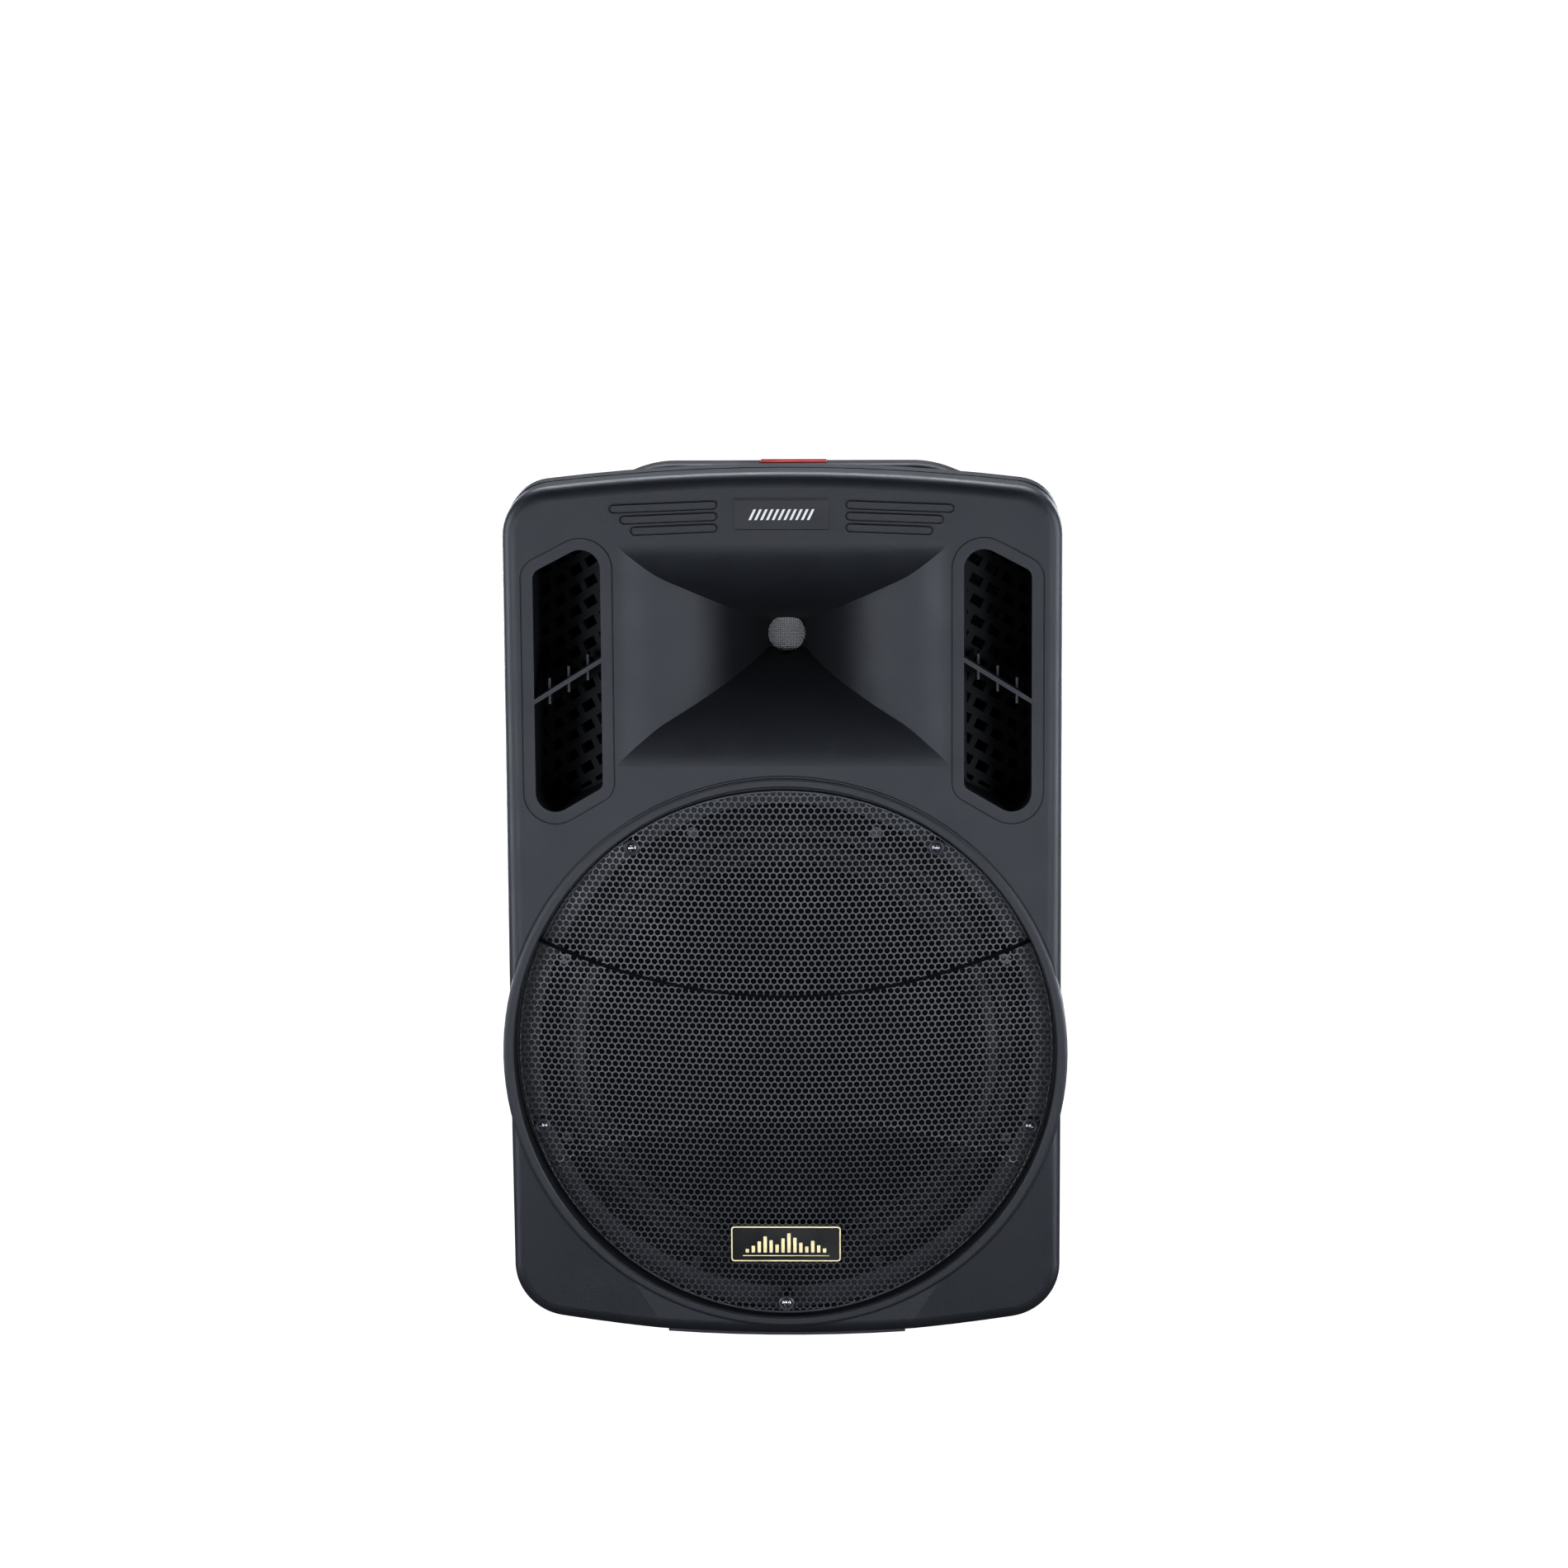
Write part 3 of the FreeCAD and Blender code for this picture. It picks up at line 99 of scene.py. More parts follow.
def paint_shade_with_depth(tree, place, colour, base, rough, near, far):
    """Paints shade into a moulding: darker colour and duller finish between two depths behind the face, a
    painted shade for the deep recesses.
    """
    split = tree.nodes.new("ShaderNodeSeparateXYZ")
    tree.links.new(place.outputs["Object"], split.inputs["Vector"])
    depth = tree.nodes.new("ShaderNodeMapRange")
    depth.inputs["From Min"].default_value = FACE_Y + near
    depth.inputs["From Max"].default_value = FACE_Y + far
    tree.links.new(split.outputs["Y"], depth.inputs["Value"])
    shade = tree.nodes.new("ShaderNodeMix")
    shade.data_type = "RGBA"
    shade.inputs["B"].default_value = (*[c / 6 for c in colour], 1)
    tree.links.new(depth.outputs["Result"], shade.inputs["Factor"])
    tree.links.new(base, shade.inputs["A"])
    dull = tree.nodes.new("ShaderNodeMix")
    dull.inputs["B"].default_value = 0.95
    tree.links.new(depth.outputs["Result"], dull.inputs["Factor"])
    tree.links.new(rough, dull.inputs["A"])
    return shade.outputs["Result"], dull.outputs["Result"]


def surface(name, colour, roughness, metallic=0.0, vary=0.12, vary_scale=30.0, grain=0.15, grain_scale=900.0,
            rough_vary=0.08, coat=0.0, stretch=(1, 1, 1), specular=0.5, emission=None, fade=None):
    """A procedural finish: colour drift, roughness drift and a fine grain in the surface.

    fade is two depths behind the face, between which the moulding's colour is painted darker and its finish
    duller: painted shade for recesses.
    """
    mat = bpy.data.materials.new(name)
    mat.use_nodes = True
    tree = mat.node_tree
    shader = tree.nodes["Principled BSDF"]
    shader.inputs["Metallic"].default_value = metallic
    shader.inputs["Coat Weight"].default_value = coat
    shader.inputs["Coat Roughness"].default_value = 0.15
    shader.inputs["Specular IOR Level"].default_value = specular
    if emission:
        shader.inputs["Emission Color"].default_value = (*colour, 1)
        shader.inputs["Emission Strength"].default_value = emission
    place = tree.nodes.new("ShaderNodeTexCoord")
    mapping = tree.nodes.new("ShaderNodeMapping")
    mapping.inputs["Scale"].default_value = stretch
    tree.links.new(place.outputs["Object"], mapping.inputs["Vector"])
    broad = noise(tree, mapping, vary_scale, 4)
    fine = noise(tree, mapping, grain_scale, 3)
    both = tree.nodes.new("ShaderNodeMath")
    both.operation = "ADD"
    tree.links.new(spread(tree, broad, 0.0, 0.5), both.inputs[0])
    tree.links.new(spread(tree, fine, 0.0, 0.5), both.inputs[1])
    mix = tree.nodes.new("ShaderNodeMix")
    mix.data_type = "RGBA"
    mix.inputs["A"].default_value = (*[c * (1 - vary) for c in colour], 1)
    mix.inputs["B"].default_value = (*[c * (1 + vary) for c in colour], 1)
    tree.links.new(both.outputs[0], mix.inputs["Factor"])
    base = mix.outputs["Result"]
    rough = spread(tree, broad, roughness - rough_vary, roughness + rough_vary)
    # painted shade: the colour darkens and the finish dulls with depth behind the face
    if fade:
        base, rough = paint_shade_with_depth(tree, place, colour, base, rough, *fade)
    tree.links.new(base, shader.inputs["Base Color"])
    tree.links.new(rough, shader.inputs["Roughness"])
    bump = tree.nodes.new("ShaderNodeBump")
    bump.inputs["Strength"].default_value = grain
    bump.inputs["Distance"].default_value = 0.3 * MM
    tree.links.new(fine, bump.inputs["Height"])
    tree.links.new(bump.outputs["Normal"], shader.inputs["Normal"])
    return mat


ABS = (0.0175, 0.0197, 0.0248)
LOOKS = {
    "cabinet_plastic": surface("grained_abs", ABS, 0.46, vary=0.10, grain=0.4, grain_scale=1100,
                               rough_vary=0.03),
    # The port moulding's colour is painted darker deeper in the port: painted shade on the lattice.
    "port_plastic": surface("port_abs_painted_shade", (0.036, 0.038, 0.043), 0.6, grain=0.3, specular=0.06,
                            fade=(30 * MM, 44 * MM)),
    "gasket_rubber": surface("gasket_rubber", (0.012, 0.012, 0.013), 0.75, grain=0.1),
    "black_screw": surface("black_zinc", (0.05, 0.05, 0.055), 0.28, metallic=0.9, grain=0.05),
    "grille_steel": surface("powder_coat", (0.054, 0.057, 0.064), 0.34, vary=0.08, grain=0.1,
                            grain_scale=2500),
    "badge_metal": surface("badge_gold", (0.86, 0.75, 0.46), 0.36, metallic=0.8, vary=0.06, grain=0.04,
                           grain_scale=2500, stretch=(1, 1, 12)),
    "plate_plastic": surface("plate_film", (0.015, 0.016, 0.019), 0.42, vary=0.2, grain=0.12,
                             grain_scale=2500),
    "basket_steel": surface("basket_paint", (0.008, 0.008, 0.009), 0.6, specular=0.12),
    "cone_paper": surface("cone_pulp", (0.011, 0.011, 0.012), 0.85, vary=0.2, grain=0.5, grain_scale=600,
                          specular=0.12),
    "spider_cloth": surface("spider_cloth", (0.45, 0.33, 0.14), 0.85, grain=0.6, grain_scale=1500),
    "copper": surface("copper_wire", (0.7, 0.32, 0.16), 0.3, metallic=1.0, stretch=(1, 30, 1)),
    "zinc_steel": surface("zinc_plate", (0.55, 0.56, 0.57), 0.32, metallic=1.0, vary=0.08, grain=0.08),
    "ferrite": surface("ferrite", (0.05, 0.05, 0.052), 0.7, grain=0.5, grain_scale=700),
    "driver_housing": surface("driver_paint", (0.04, 0.04, 0.042), 0.45),
    "screen_mesh": surface("screen_wire", (0.15, 0.15, 0.148), 0.34, metallic=1.0, vary=0.2, grain=0.05),
    "circuit_board": surface("solder_mask", (0.02, 0.13, 0.05), 0.3, vary=0.2, coat=0.4),
    "heatsink_alloy": surface("heatsink_alloy", (0.5, 0.5, 0.52), 0.4, metallic=1.0, stretch=(1, 1, 10)),
    "transformer_iron": surface("lamination", (0.16, 0.16, 0.17), 0.5, metallic=0.5, stretch=(20, 1, 1)),
    "battery_case": surface("battery_case", (0.08, 0.08, 0.09), 0.5),
    "panel_fitting": surface("fitting_plastic", (0.018, 0.018, 0.02), 0.38, grain=0.1),
    "panel_steel": surface("panel_coat", (0.030, 0.031, 0.034), 0.5, vary=0.15, grain=0.5, grain_scale=1500),
    "light_lens": surface("light_lens", (0.05, 0.75, 0.18), 0.2, emission=1.5, vary=0.05),
    "display_glass": surface("display_window", (0.008, 0.012, 0.02), 0.08, coat=1.0, vary=0.3, grain=0.01),
    "socket_alloy": surface("socket_coat", (0.035, 0.035, 0.038), 0.45, grain=0.3),
    "foot_rubber": surface("foot_rubber", (0.016, 0.016, 0.017), 0.8, grain=0.4),
    "handle_plastic": surface("handle_rubber", (0.020, 0.021, 0.023), 0.5, grain=0.3, grain_scale=1400),
    "tube_steel": surface("tube_coat", (0.028, 0.028, 0.03), 0.35, grain=0.15),
    "tube_chrome": surface("tube_chrome", (0.72, 0.72, 0.74), 0.12, metallic=1.0, vary=0.04, grain=0.02),
    "button_red": surface("button_red", (0.42, 0.022, 0.018), 0.38, grain=0.08),
    "wheel_plastic": surface("wheel_plastic", (0.03, 0.031, 0.034), 0.42, grain=0.15),
    "tyre_rubber": surface("tyre_rubber", (0.014, 0.014, 0.015), 0.78, vary=0.25, grain=0.5, grain_scale=700),
    "knob_plastic": surface("knob_plastic", (0.022, 0.022, 0.024), 0.42, grain=0.1),
    "switch_plastic": surface("switch_plastic", (0.012, 0.012, 0.013), 0.2, coat=0.3, grain=0.03),
    "key_plastic": surface("key_plastic", (0.20, 0.20, 0.21), 0.45, grain=0.1),
}
# The front baffle's colour is painted darker deep in the horn and ports: painted shade round the throat and
# in the ducts.
BAFFLE_ABS_PAINTED_SHADE = surface("grained_abs_front_painted_shade", ABS, 0.46, vary=0.10, grain=0.4, grain_scale=1100, rough_vary=0.03,
                     fade=(45 * MM, 100 * MM))
# Near-black coat for the grille's fold strips: painted shade for the shadowed faces of the pressed folds.
PAINTED_FOLD_SHADE = surface("painted_fold_shade", (0.007, 0.007, 0.008), 0.6, specular=0.2, grain=0.1)
SCREW_GLOSS = surface("screw_gloss", (0.34, 0.34, 0.36), 0.16, metallic=1.0, vary=0.05, grain=0.02)
WHITE_PRINT = surface("white_print", (0.72, 0.72, 0.70), 0.6, vary=0.05, grain=0.1)
BADGE_FIELD = surface("badge_enamel", (0.006, 0.0055, 0.005), 0.3, vary=0.2, grain=0.03, coat=0.2)
DISPLAY_BARS = surface("display_bars", (0.12, 0.65, 0.95), 0.4, emission=1.2, vary=0.05)


def dress_frame():
    """Gives every carried CAD node its finish."""
    slot_of = {part["node"]: part["material_slot"] for part in frame["record"]["subparts"]}
    for node, obj in frame["nodes"].items():
        for i in range(len(obj.material_slots)):
            look = BAFFLE_ABS_PAINTED_SHADE if node == "front_baffle" else LOOKS[slot_of[node]]
            obj.material_slots[i].material = look


# ---- mesh helpers -------------------------------------------------------------------------
def piece(name, verts, faces, mat, body, replaces=(), smooth=False):
    """A new mesh that rides on a body and, where it is told to, stands for CAD nodes."""
    mesh = bpy.data.meshes.new(name)
    mesh.from_pydata([tuple(v) for v in verts], [], [tuple(int(i) for i in f) for f in faces])
    mesh.update()
    if smooth:
        mesh.polygons.foreach_set("use_smooth", [True] * len(mesh.polygons))
        mesh.set_sharp_from_angle(angle=math.radians(35))
    obj = bpy.data.objects.new(name, mesh)
    bpy.context.scene.collection.objects.link(obj)
    mesh.materials.append(mat)
    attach(obj, body)
    if replaces:
        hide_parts(*replaces)
    return obj


def join(parts):
    """Puts several (verts, faces) lists into one."""
    verts, faces = [], []
    for v, f in parts:
        n = len(verts)
        verts += list(v)
        faces += [tuple(i + n for i in face) for face in f]
    return verts, faces


def lathe(outline, centre, steps):
    """A closed outline of (radius, depth) points turned about a line along Y through centre."""
    cx, cy, cz = centre
    n = len(outline)
    verts, faces = [], []
    for k in range(steps):
        a = 2 * math.pi * k / steps
        verts += [(cx + r * math.sin(a), cy + depth, cz + r * math.cos(a)) for r, depth in outline]
        m = (k + 1) % steps
        for i in range(n):
            j = (i + 1) % n
            faces.append((k * n + i, m * n + i, m * n + j, k * n + j))
    return verts, faces


def slab(corners, y_back, y_front, bevel):
    """A flat tile that faces -Y: an outline in X and Z, its front edge bevelled."""
    mid_x, mid_z = np.mean(np.array(corners), axis=0)
    n = len(corners)

    def towards(value, middle, inset):
        gap = value - middle
        return value - math.copysign(min(inset, abs(gap)), gap)

    verts = []
    for inset, y in ((0.0, y_back), (0.0, y_front + bevel), (bevel, y_front)):
        verts += [(towards(x, mid_x, inset), y, towards(z, mid_z, inset)) for x, z in corners]
    faces = [tuple(range(n))[::-1], tuple(range(2 * n, 3 * n))]
    for level in range(2):
        for i in range(n):
            j = (i + 1) % n
            faces.append((level * n + i, level * n + j, (level + 1) * n + j, (level + 1) * n + i))
    return verts, faces


def rounded_corners(x0, x1, z0, z1, r, steps=6):
    """The outline of a rectangle with round corners, as seen from the front."""
    centres = [(x1 - r, z1 - r, 0), (x0 + r, z1 - r, 90), (x0 + r, z0 + r, 180), (x1 - r, z0 + r, 270)]
    points = []
    for cx, cz, start in centres:
        for k in range(steps + 1):
            a = math.radians(start + 90 * k / steps)
            points.append((cx + r * math.cos(a), cz + r * math.sin(a)))
    return points[::-1]


# ---- perforated grille --------------------------------------------------------------------
def upper_crease(x):
    """The height of the pressed fold, lowest in the middle."""
    return UPPER_CREASE_Z + UPPER_CREASE_RISE * (x / CREASE_HALF_SPAN) ** 2


def lower_crease(x):
    """The height where the step under the fold has run out, highest in the middle."""
    return LOWER_CREASE_Z - LOWER_CREASE_FALL * (x / CREASE_HALF_SPAN) ** 2


def crease_share(x):
    """The step under the upper crease: slight in the middle and full at the sides."""
    return 0.45 + 0.55 * np.clip(np.abs(x) / CREASE_HALF_SPAN, 0, 1)


def grille_y(x, z):
    """The front skin of the bowed grille, with its pressed step under the upper crease."""
    lean = (z - GRILLE_Z) / GRILLE_R
    y = GRILLE_FRONT_Y + GRILLE_BOW * np.log(np.cosh(x / BOW_LENGTH))
    y = y + np.where(lean > 0, LEAN_UP, LEAN_DOWN) * lean ** 2
    upper, lower, share = upper_crease(x), lower_crease(x), crease_share(x)
    drop = np.clip((upper - z) / (CREASE_WIDTH * share), 0, 1)
    fade = np.clip((z - lower) / (upper - lower), 0, 1)
    return y + CREASE_STEP * share * drop * fade ** 0.5


def screw_places():
    """(x, z) of each grille screw."""
    turns = [math.radians(angle) for angle in SCREW_ANGLES]
    return [(SCREW_CIRCLE_R * math.sin(a), GRILLE_Z + SCREW_CIRCLE_R * math.cos(a)) for a in turns]


def grille_cells(z_low, z_high):
    """Centres of the hexagonal cells of one band that reach inside the rim, clear of the screws."""
    row_pitch = HOLE_PITCH * math.sqrt(3) / 2
    reach = SKIN_R + HOLE_PITCH / math.sqrt(3)
    centres = []
    rows, columns = int(reach / row_pitch) + 1, int(reach / HOLE_PITCH) + 1
    for row in range(-rows, rows + 1):
        z = GRILLE_Z + row * row_pitch
        if not z_low <= z < z_high:
            continue
        shift = HOLE_PITCH / 2 if row % 2 else 0.0
        for column in range(-columns, columns + 1):
            x = column * HOLE_PITCH + shift
            clear = all(math.hypot(x - sx, z - sz) > SCREW_CLEAR_R for sx, sz in screw_places())
            if clear and math.hypot(x, z - GRILLE_Z) < reach:
                centres.append((x, z))
    return np.array(centres)


def cell_points(centres, sides):
    """The points of each cell's rim and then of its hole, in X and Z."""
    angles = np.radians(np.arange(sides) * 360.0 / sides)
    rim_r = np.where(np.arange(sides) % 2 == 0, HOLE_PITCH / 2, HOLE_PITCH / math.sqrt(3))
    rim = np.stack([rim_r * np.cos(angles), rim_r * np.sin(angles)], 1)
    hole = np.stack([HOLE_R * np.cos(angles), HOLE_R * np.sin(angles)], 1)
    return np.concatenate([centres[:, None] + rim[None], centres[:, None] + hole[None]], 1).reshape(-1, 2)


def weld(flat, same_point):
    """Makes the points that cells share into one. Returns the points, and the new number of each old one."""
    keys, index = np.unique(np.round(flat / same_point).astype(int), axis=0, return_inverse=True)
    index = index.reshape(-1)
    points = np.zeros((len(keys), 2))
    points[index] = flat
    return points, index


def pull_inside(points):
    """Moves the points beyond the skin's edge onto it. Returns the points, and which ones it moved."""
    radius = np.hypot(points[:, 0], points[:, 1] - GRILLE_Z)
    outside = radius > SKIN_R
    pull = np.where(outside, SKIN_R / radius, 1.0)
    return np.stack([points[:, 0] * pull, GRILLE_Z + (points[:, 1] - GRILLE_Z) * pull], 1), outside


def bowed_sheet(points, front_faces):
    """A closed sheet on the bowed form: a front skin, a back skin, and walls round every open edge."""
    count = len(points)
    front = np.stack([points[:, 0], grille_y(points[:, 0], points[:, 1]), points[:, 1]], 1)
    verts = np.concatenate([front, front + np.array([0, SHEET_T, 0])])
    edges = np.stack([front_faces, np.roll(front_faces, -1, axis=1)], -1).reshape(-1, 2)
    _, first, uses = np.unique(np.sort(edges, 1), axis=0, return_index=True, return_counts=True)
    loose = edges[first[uses == 1]]
    walls = np.stack([loose[:, 1], loose[:, 0], loose[:, 0] + count, loose[:, 1] + count], -1)
    return verts, np.concatenate([front_faces, front_faces[:, ::-1] + count, walls])


def perforated_band(name, z_low, z_high, replaces=()):
    """One band of hexagonal cells, each a ring of four-sided faces between its rim and its hole."""
    sides = 12
    centres = grille_cells(z_low, z_high)
    points, index = weld(cell_points(centres, sides), 0.02 * MM)
    points, outside = pull_inside(points)
    cell = np.arange(len(centres))[:, None] * 2 * sides
    here, after = np.arange(sides), (np.arange(sides) + 1) % sides
    outer_a, outer_b = index[cell + here], index[cell + after]
    inner_a, inner_b = index[cell + sides + here], index[cell + sides + after]
    front_faces = np.stack([outer_b, outer_a, inner_a, inner_b], -1).reshape(-1, 4)
    front_faces = front_faces[outside[front_faces].sum(1) < 3]
    used, front_faces = np.unique(front_faces, return_inverse=True)
    verts, faces = bowed_sheet(points[used], front_faces.reshape(-1, 4))
    return piece(name, verts, faces, LOOKS["grille_steel"], "cabinet", replaces)


def grille_rim():
    """The rolled edge behind the perforated skin, which follows its bow round the circle."""
    depth, sheet = 6.5, 1.4
    section = [(-0.35, 0.15), (0.0, 0.5), (0.0, depth), (-sheet, depth), (-sheet, 1.15), (-0.35, 1.15)]
    steps, n = 240, len(section)
    verts, faces = [], []
    for k in range(steps):
        a = 2 * math.pi * k / steps
        edge_y = float(grille_y(GRILLE_R * math.sin(a), GRILLE_Z + GRILLE_R * math.cos(a)))
        for dr, dy in section:
            r = GRILLE_R + dr * MM
            verts.append((r * math.sin(a), edge_y + dy * MM, GRILLE_Z + r * math.cos(a)))
    for k in range(steps):
        m = (k + 1) % steps
        for i in range(n):
            j = (i + 1) % n
            faces.append((k * n + i, k * n + j, m * n + j, m * n + i))
    return piece("grille_rim", verts, faces, LOOKS["grille_steel"], "cabinet", smooth=True)


def fold_band(name, crease, height, sink, proud):
    """The unpierced strip of one pressed fold, nearly from rim to rim, coloured near-black as painted shade
    of the fold's shadowed face.
    """
    steps, thick, half_span, above = 96, 0.5 * MM, 0.945 * GRILLE_R, 0.2 * MM
    rows = []
    for k in range(steps + 1):
        x = (2 * k / steps - 1) * half_span
        top = float(crease(x))
        share = float(crease_share(x))
        y = float(grille_y(x, top + above)) - proud
        low, back = top - height * share, y + sink * share
        rows.append([(x, y, top), (x, back, low), (x, back + thick, low), (x, y + thick, top)])
    verts = [v for row in rows for v in row]
    faces = [(0, 1, 2, 3), tuple(4 * steps + i for i in (3, 2, 1, 0))]
    for k in range(steps):
        for i in range(4):
            j = (i + 1) % 4
            faces.append((4 * k + i, 4 * k + 4 + i, 4 * k + 4 + j, 4 * k + j))
    return piece(name, verts, faces, PAINTED_FOLD_SHADE, "cabinet")


def cup_washers():
    """Pressed washers that sink each grille screw into the skin."""
    front = [(1.9, 0.9), (3.3, 0.8), (4.4, -0.5), (5.2, -0.9), (5.9, -0.6), (6.1, 0.3)]
    behind = [(5.7, 0.4), (5.1, -0.3), (4.7, 0.0), (3.7, 1.5), (1.9, 1.6)]
    outline = [(r * MM, depth * MM) for r, depth in front + behind]
    places = [(x, float(grille_y(x, z)) - 0.2 * MM, z) for x, z in screw_places()]
    verts, faces = join([lathe(outline, place, steps=36) for place in places])
    return piece("grille_cup_washers", verts, faces, LOOKS["grille_steel"], "cabinet",
                 smooth=True)


def domed_head(x, seat, z):
    """One pan head with a cross recess: a point, rings of the dome, and a skirt behind them."""
    head_r, dome, recess, skirt = 3.9 * MM, 2.6 * MM, 0.9 * MM, 0.8 * MM
    cross_half, cross_reach = 0.55 * MM, 0.62 * head_r
    rings, steps = 7, 32
    around = [2 * math.pi * i / steps for i in range(steps)]
    verts = [(x, seat - dome + recess, z)]
    for k in range(1, rings + 1):
        r = head_r * math.sin(math.pi / 2 * k / rings)
        for a in around:
            u, v = r * math.sin(a), r * math.cos(a)
            in_cross = min(abs(u), abs(v)) < cross_half and r < cross_reach
            y = seat - dome * math.cos(math.pi / 2 * k / rings) + (recess if in_cross else 0.0)
            verts.append((x + u, y, z + v))
    base = len(verts)
    verts += [(x + head_r * math.sin(a), seat + skirt, z + head_r * math.cos(a)) for a in around]
    faces = [(0, 1 + i, 1 + (i + 1) % steps) for i in range(steps)]
    for k in range(rings):
        here, after = 1 + k * steps, 1 + (k + 1) * steps
        for i in range(steps):
            j = (i + 1) % steps
            faces.append((here + i, after + i, after + j, here + j))
    faces.append(tuple(range(base + steps - 1, base - 1, -1)))
    return verts, faces


def domed_screws():
    """Polished black screws, sunk in the washers."""
    verts, faces = join([domed_head(x, float(grille_y(x, z)) + 0.5 * MM, z) for x, z in screw_places()])
    return piece("grille_screw_heads", verts, faces, SCREW_GLOSS, "cabinet",
                 ["grille_screws"], smooth=True)


# ---- badge, plate and throat --------------------------------------------------------------
def badge_frame(x0, x1, z0, z1, y0, y1, edge):
    """A gold edge with a chamfered lip; returns the outline of the field inside it."""
    outer = rounded_corners(x0, x1, z0, z1, 2.5 * MM)
    inner = rounded_corners(x0 + edge, x1 - edge, z0 + edge, z1 - edge, 1.6 * MM)
    n, mid_z = len(outer), (z0 + z1) / 2
    shrink_x, shrink_z, chamfer, sunk = 0.9965, 0.99, 0.4 * MM, 0.6 * MM
    rows = [[(x, y1, z) for x, z in outer],
            [(x, y0 + chamfer, z) for x, z in outer],
            [(x * shrink_x, y0, (z - mid_z) * shrink_z + mid_z) for x, z in outer],
            [(x, y0, z) for x, z in inner],
            [(x, y0 + sunk, z) for x, z in inner],
            [(x, y1, z) for x, z in inner]]
    verts = [v for row in rows for v in row]
    faces = []
    for level in range(len(rows)):
        after = (level + 1) % len(rows)
        for i in range(n):
            j = (i + 1) % n
            faces.append((level * n + i, level * n + j, after * n + j, after * n + i))
    piece("badge_frame", verts, faces, LOOKS["badge_metal"], "cabinet", ["grille_badge"],
          smooth=True)
    return inner


def badge():
    """A plain black badge with a gold edge and a row of level bars."""
    low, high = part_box("grille_badge")
    x0, x1, z0, z1, y0, y1 = low.x, high.x, low.z, high.z, low.y, high.y
    inner = badge_frame(x0, x1, z0, z1, y0, y1, 1.1 * MM)
    verts, faces = slab(inner, y1 - 0.1 * MM, y0 + 0.5 * MM, 0.05 * MM)
    piece("badge_field", verts, faces, BADGE_FIELD, "cabinet")
    levels = [3.0, 5.5, 9.0, 13.0, 10.0, 6.5, 11.5, 15.5, 12.0, 8.0, 5.0, 9.5, 6.0, 3.5]
    pitch, width, foot, back = 4.6 * MM, 2.6 * MM, z0 + 7.0 * MM, y0 + 0.7 * MM
    parts = []
    for i, level in enumerate(levels):
        cx = (i - (len(levels) - 1) / 2) * pitch
        bar = rounded_corners(cx - width / 2, cx + width / 2, foot, foot + level * MM, 0.5 * MM, 3)
        parts.append(slab(bar, back, y0 + 0.15 * MM, 0.15 * MM))
    margin, line_foot, line_top = 9 * MM, z0 + 4.2 * MM, z0 + 5.0 * MM
    line = rounded_corners(x0 + margin, x1 - margin, line_foot, line_top, 0.3 * MM, 2)
    parts.append(slab(line, back, y0 + 0.2 * MM, 0.1 * MM))
    verts, faces = join(parts)
    piece("badge_level_bars", verts, faces, LOOKS["badge_metal"], "cabinet")


def plate_trim():
    """Fine raised lines along the plate's long edges."""
    low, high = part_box("name_plate")
    inset, half_w, margin = 1.2 * MM, 0.3 * MM, 1 * MM
    parts = []
    for z in (low.z + inset, high.z - inset):
        line = rounded_corners(low.x + margin, high.x - margin, z - half_w, z + half_w, 0.2 * MM, 2)
        parts.append(slab(line, low.y + 0.1 * MM, low.y - 0.15 * MM, 0.1 * MM))
    verts, faces = join(parts)
    piece("plate_trim", verts, faces, LOOKS["gasket_rubber"], "cabinet")


def plate_print():
    """A plain row of slanted white bars on the plate."""
    low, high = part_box("name_plate")
    mid_z = (low.z + high.z) / 2
    pitch, half_w, half_h, lean = 4.4 * MM, 1.0 * MM, 4.1 * MM, 2.0 * MM
    parts = []
    for i in range(-5, 6):
        x = i * pitch
        bar = [(x - half_w - lean, mid_z - half_h), (x - half_w + lean, mid_z + half_h),
               (x + half_w + lean, mid_z + half_h), (x + half_w - lean, mid_z - half_h)]
        parts.append(slab(bar, low.y + 0.05 * MM, low.y - 0.06 * MM, 0.02 * MM))
    verts, faces = join(parts)
    piece("plate_print", verts, faces, WHITE_PRINT, "cabinet")


def wave_wire(centre, half, across, turned, phase):
    """One wire of the weave: a six-sided tube that rises and falls over the wires it crosses."""
    cx, cy, cz = centre
    sides, steps, wave_h = 6, 40, 0.16 * MM
    verts, faces = [], []
    for k in range(steps + 1):
        along = -half + 2 * half * k / steps
        wave = math.sin(math.pi * along / WIRE_PITCH + phase) * wave_h
        for s in range(sides):
            a = 2 * math.pi * s / sides
            off, lift = WIRE_R * math.cos(a), WIRE_R * math.sin(a) + wave
            if turned:
                verts.append((cx + across + off, cy + lift, cz + along))
            else:
                verts.append((cx + along, cy + lift, cz + across + off))
    for k in range(steps):
        for s in range(sides):
            t = (s + 1) % sides
            faces.append((k * sides + s, k * sides + t, (k + 1) * sides + t, (k + 1) * sides + s))
    faces.append(tuple(range(sides))[::-1])
    faces.append(tuple(steps * sides + s for s in range(sides)))
    if not turned:
        faces = [face[::-1] for face in faces]
    return verts, faces


def throat_mesh():
    """Woven wire across the horn's throat."""
    low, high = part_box("throat_screen")
    radius = (high.x - low.x) / 2 - 0.2 * MM
    count = int(radius / WIRE_PITCH)
    parts = []
    for turned in (False, True):
        for i in range(-count, count + 1):
            across = i * WIRE_PITCH
            half = math.sqrt(radius ** 2 - across ** 2)
            phase = math.pi if (i % 2) != turned else 0.0
            parts.append(wave_wire((low + high) / 2, half, across, turned, phase))
    verts, faces = join(parts)
    piece("throat_wire_mesh", verts, faces, LOOKS["screen_mesh"], "cabinet",
          ["throat_screen"], smooth=True)


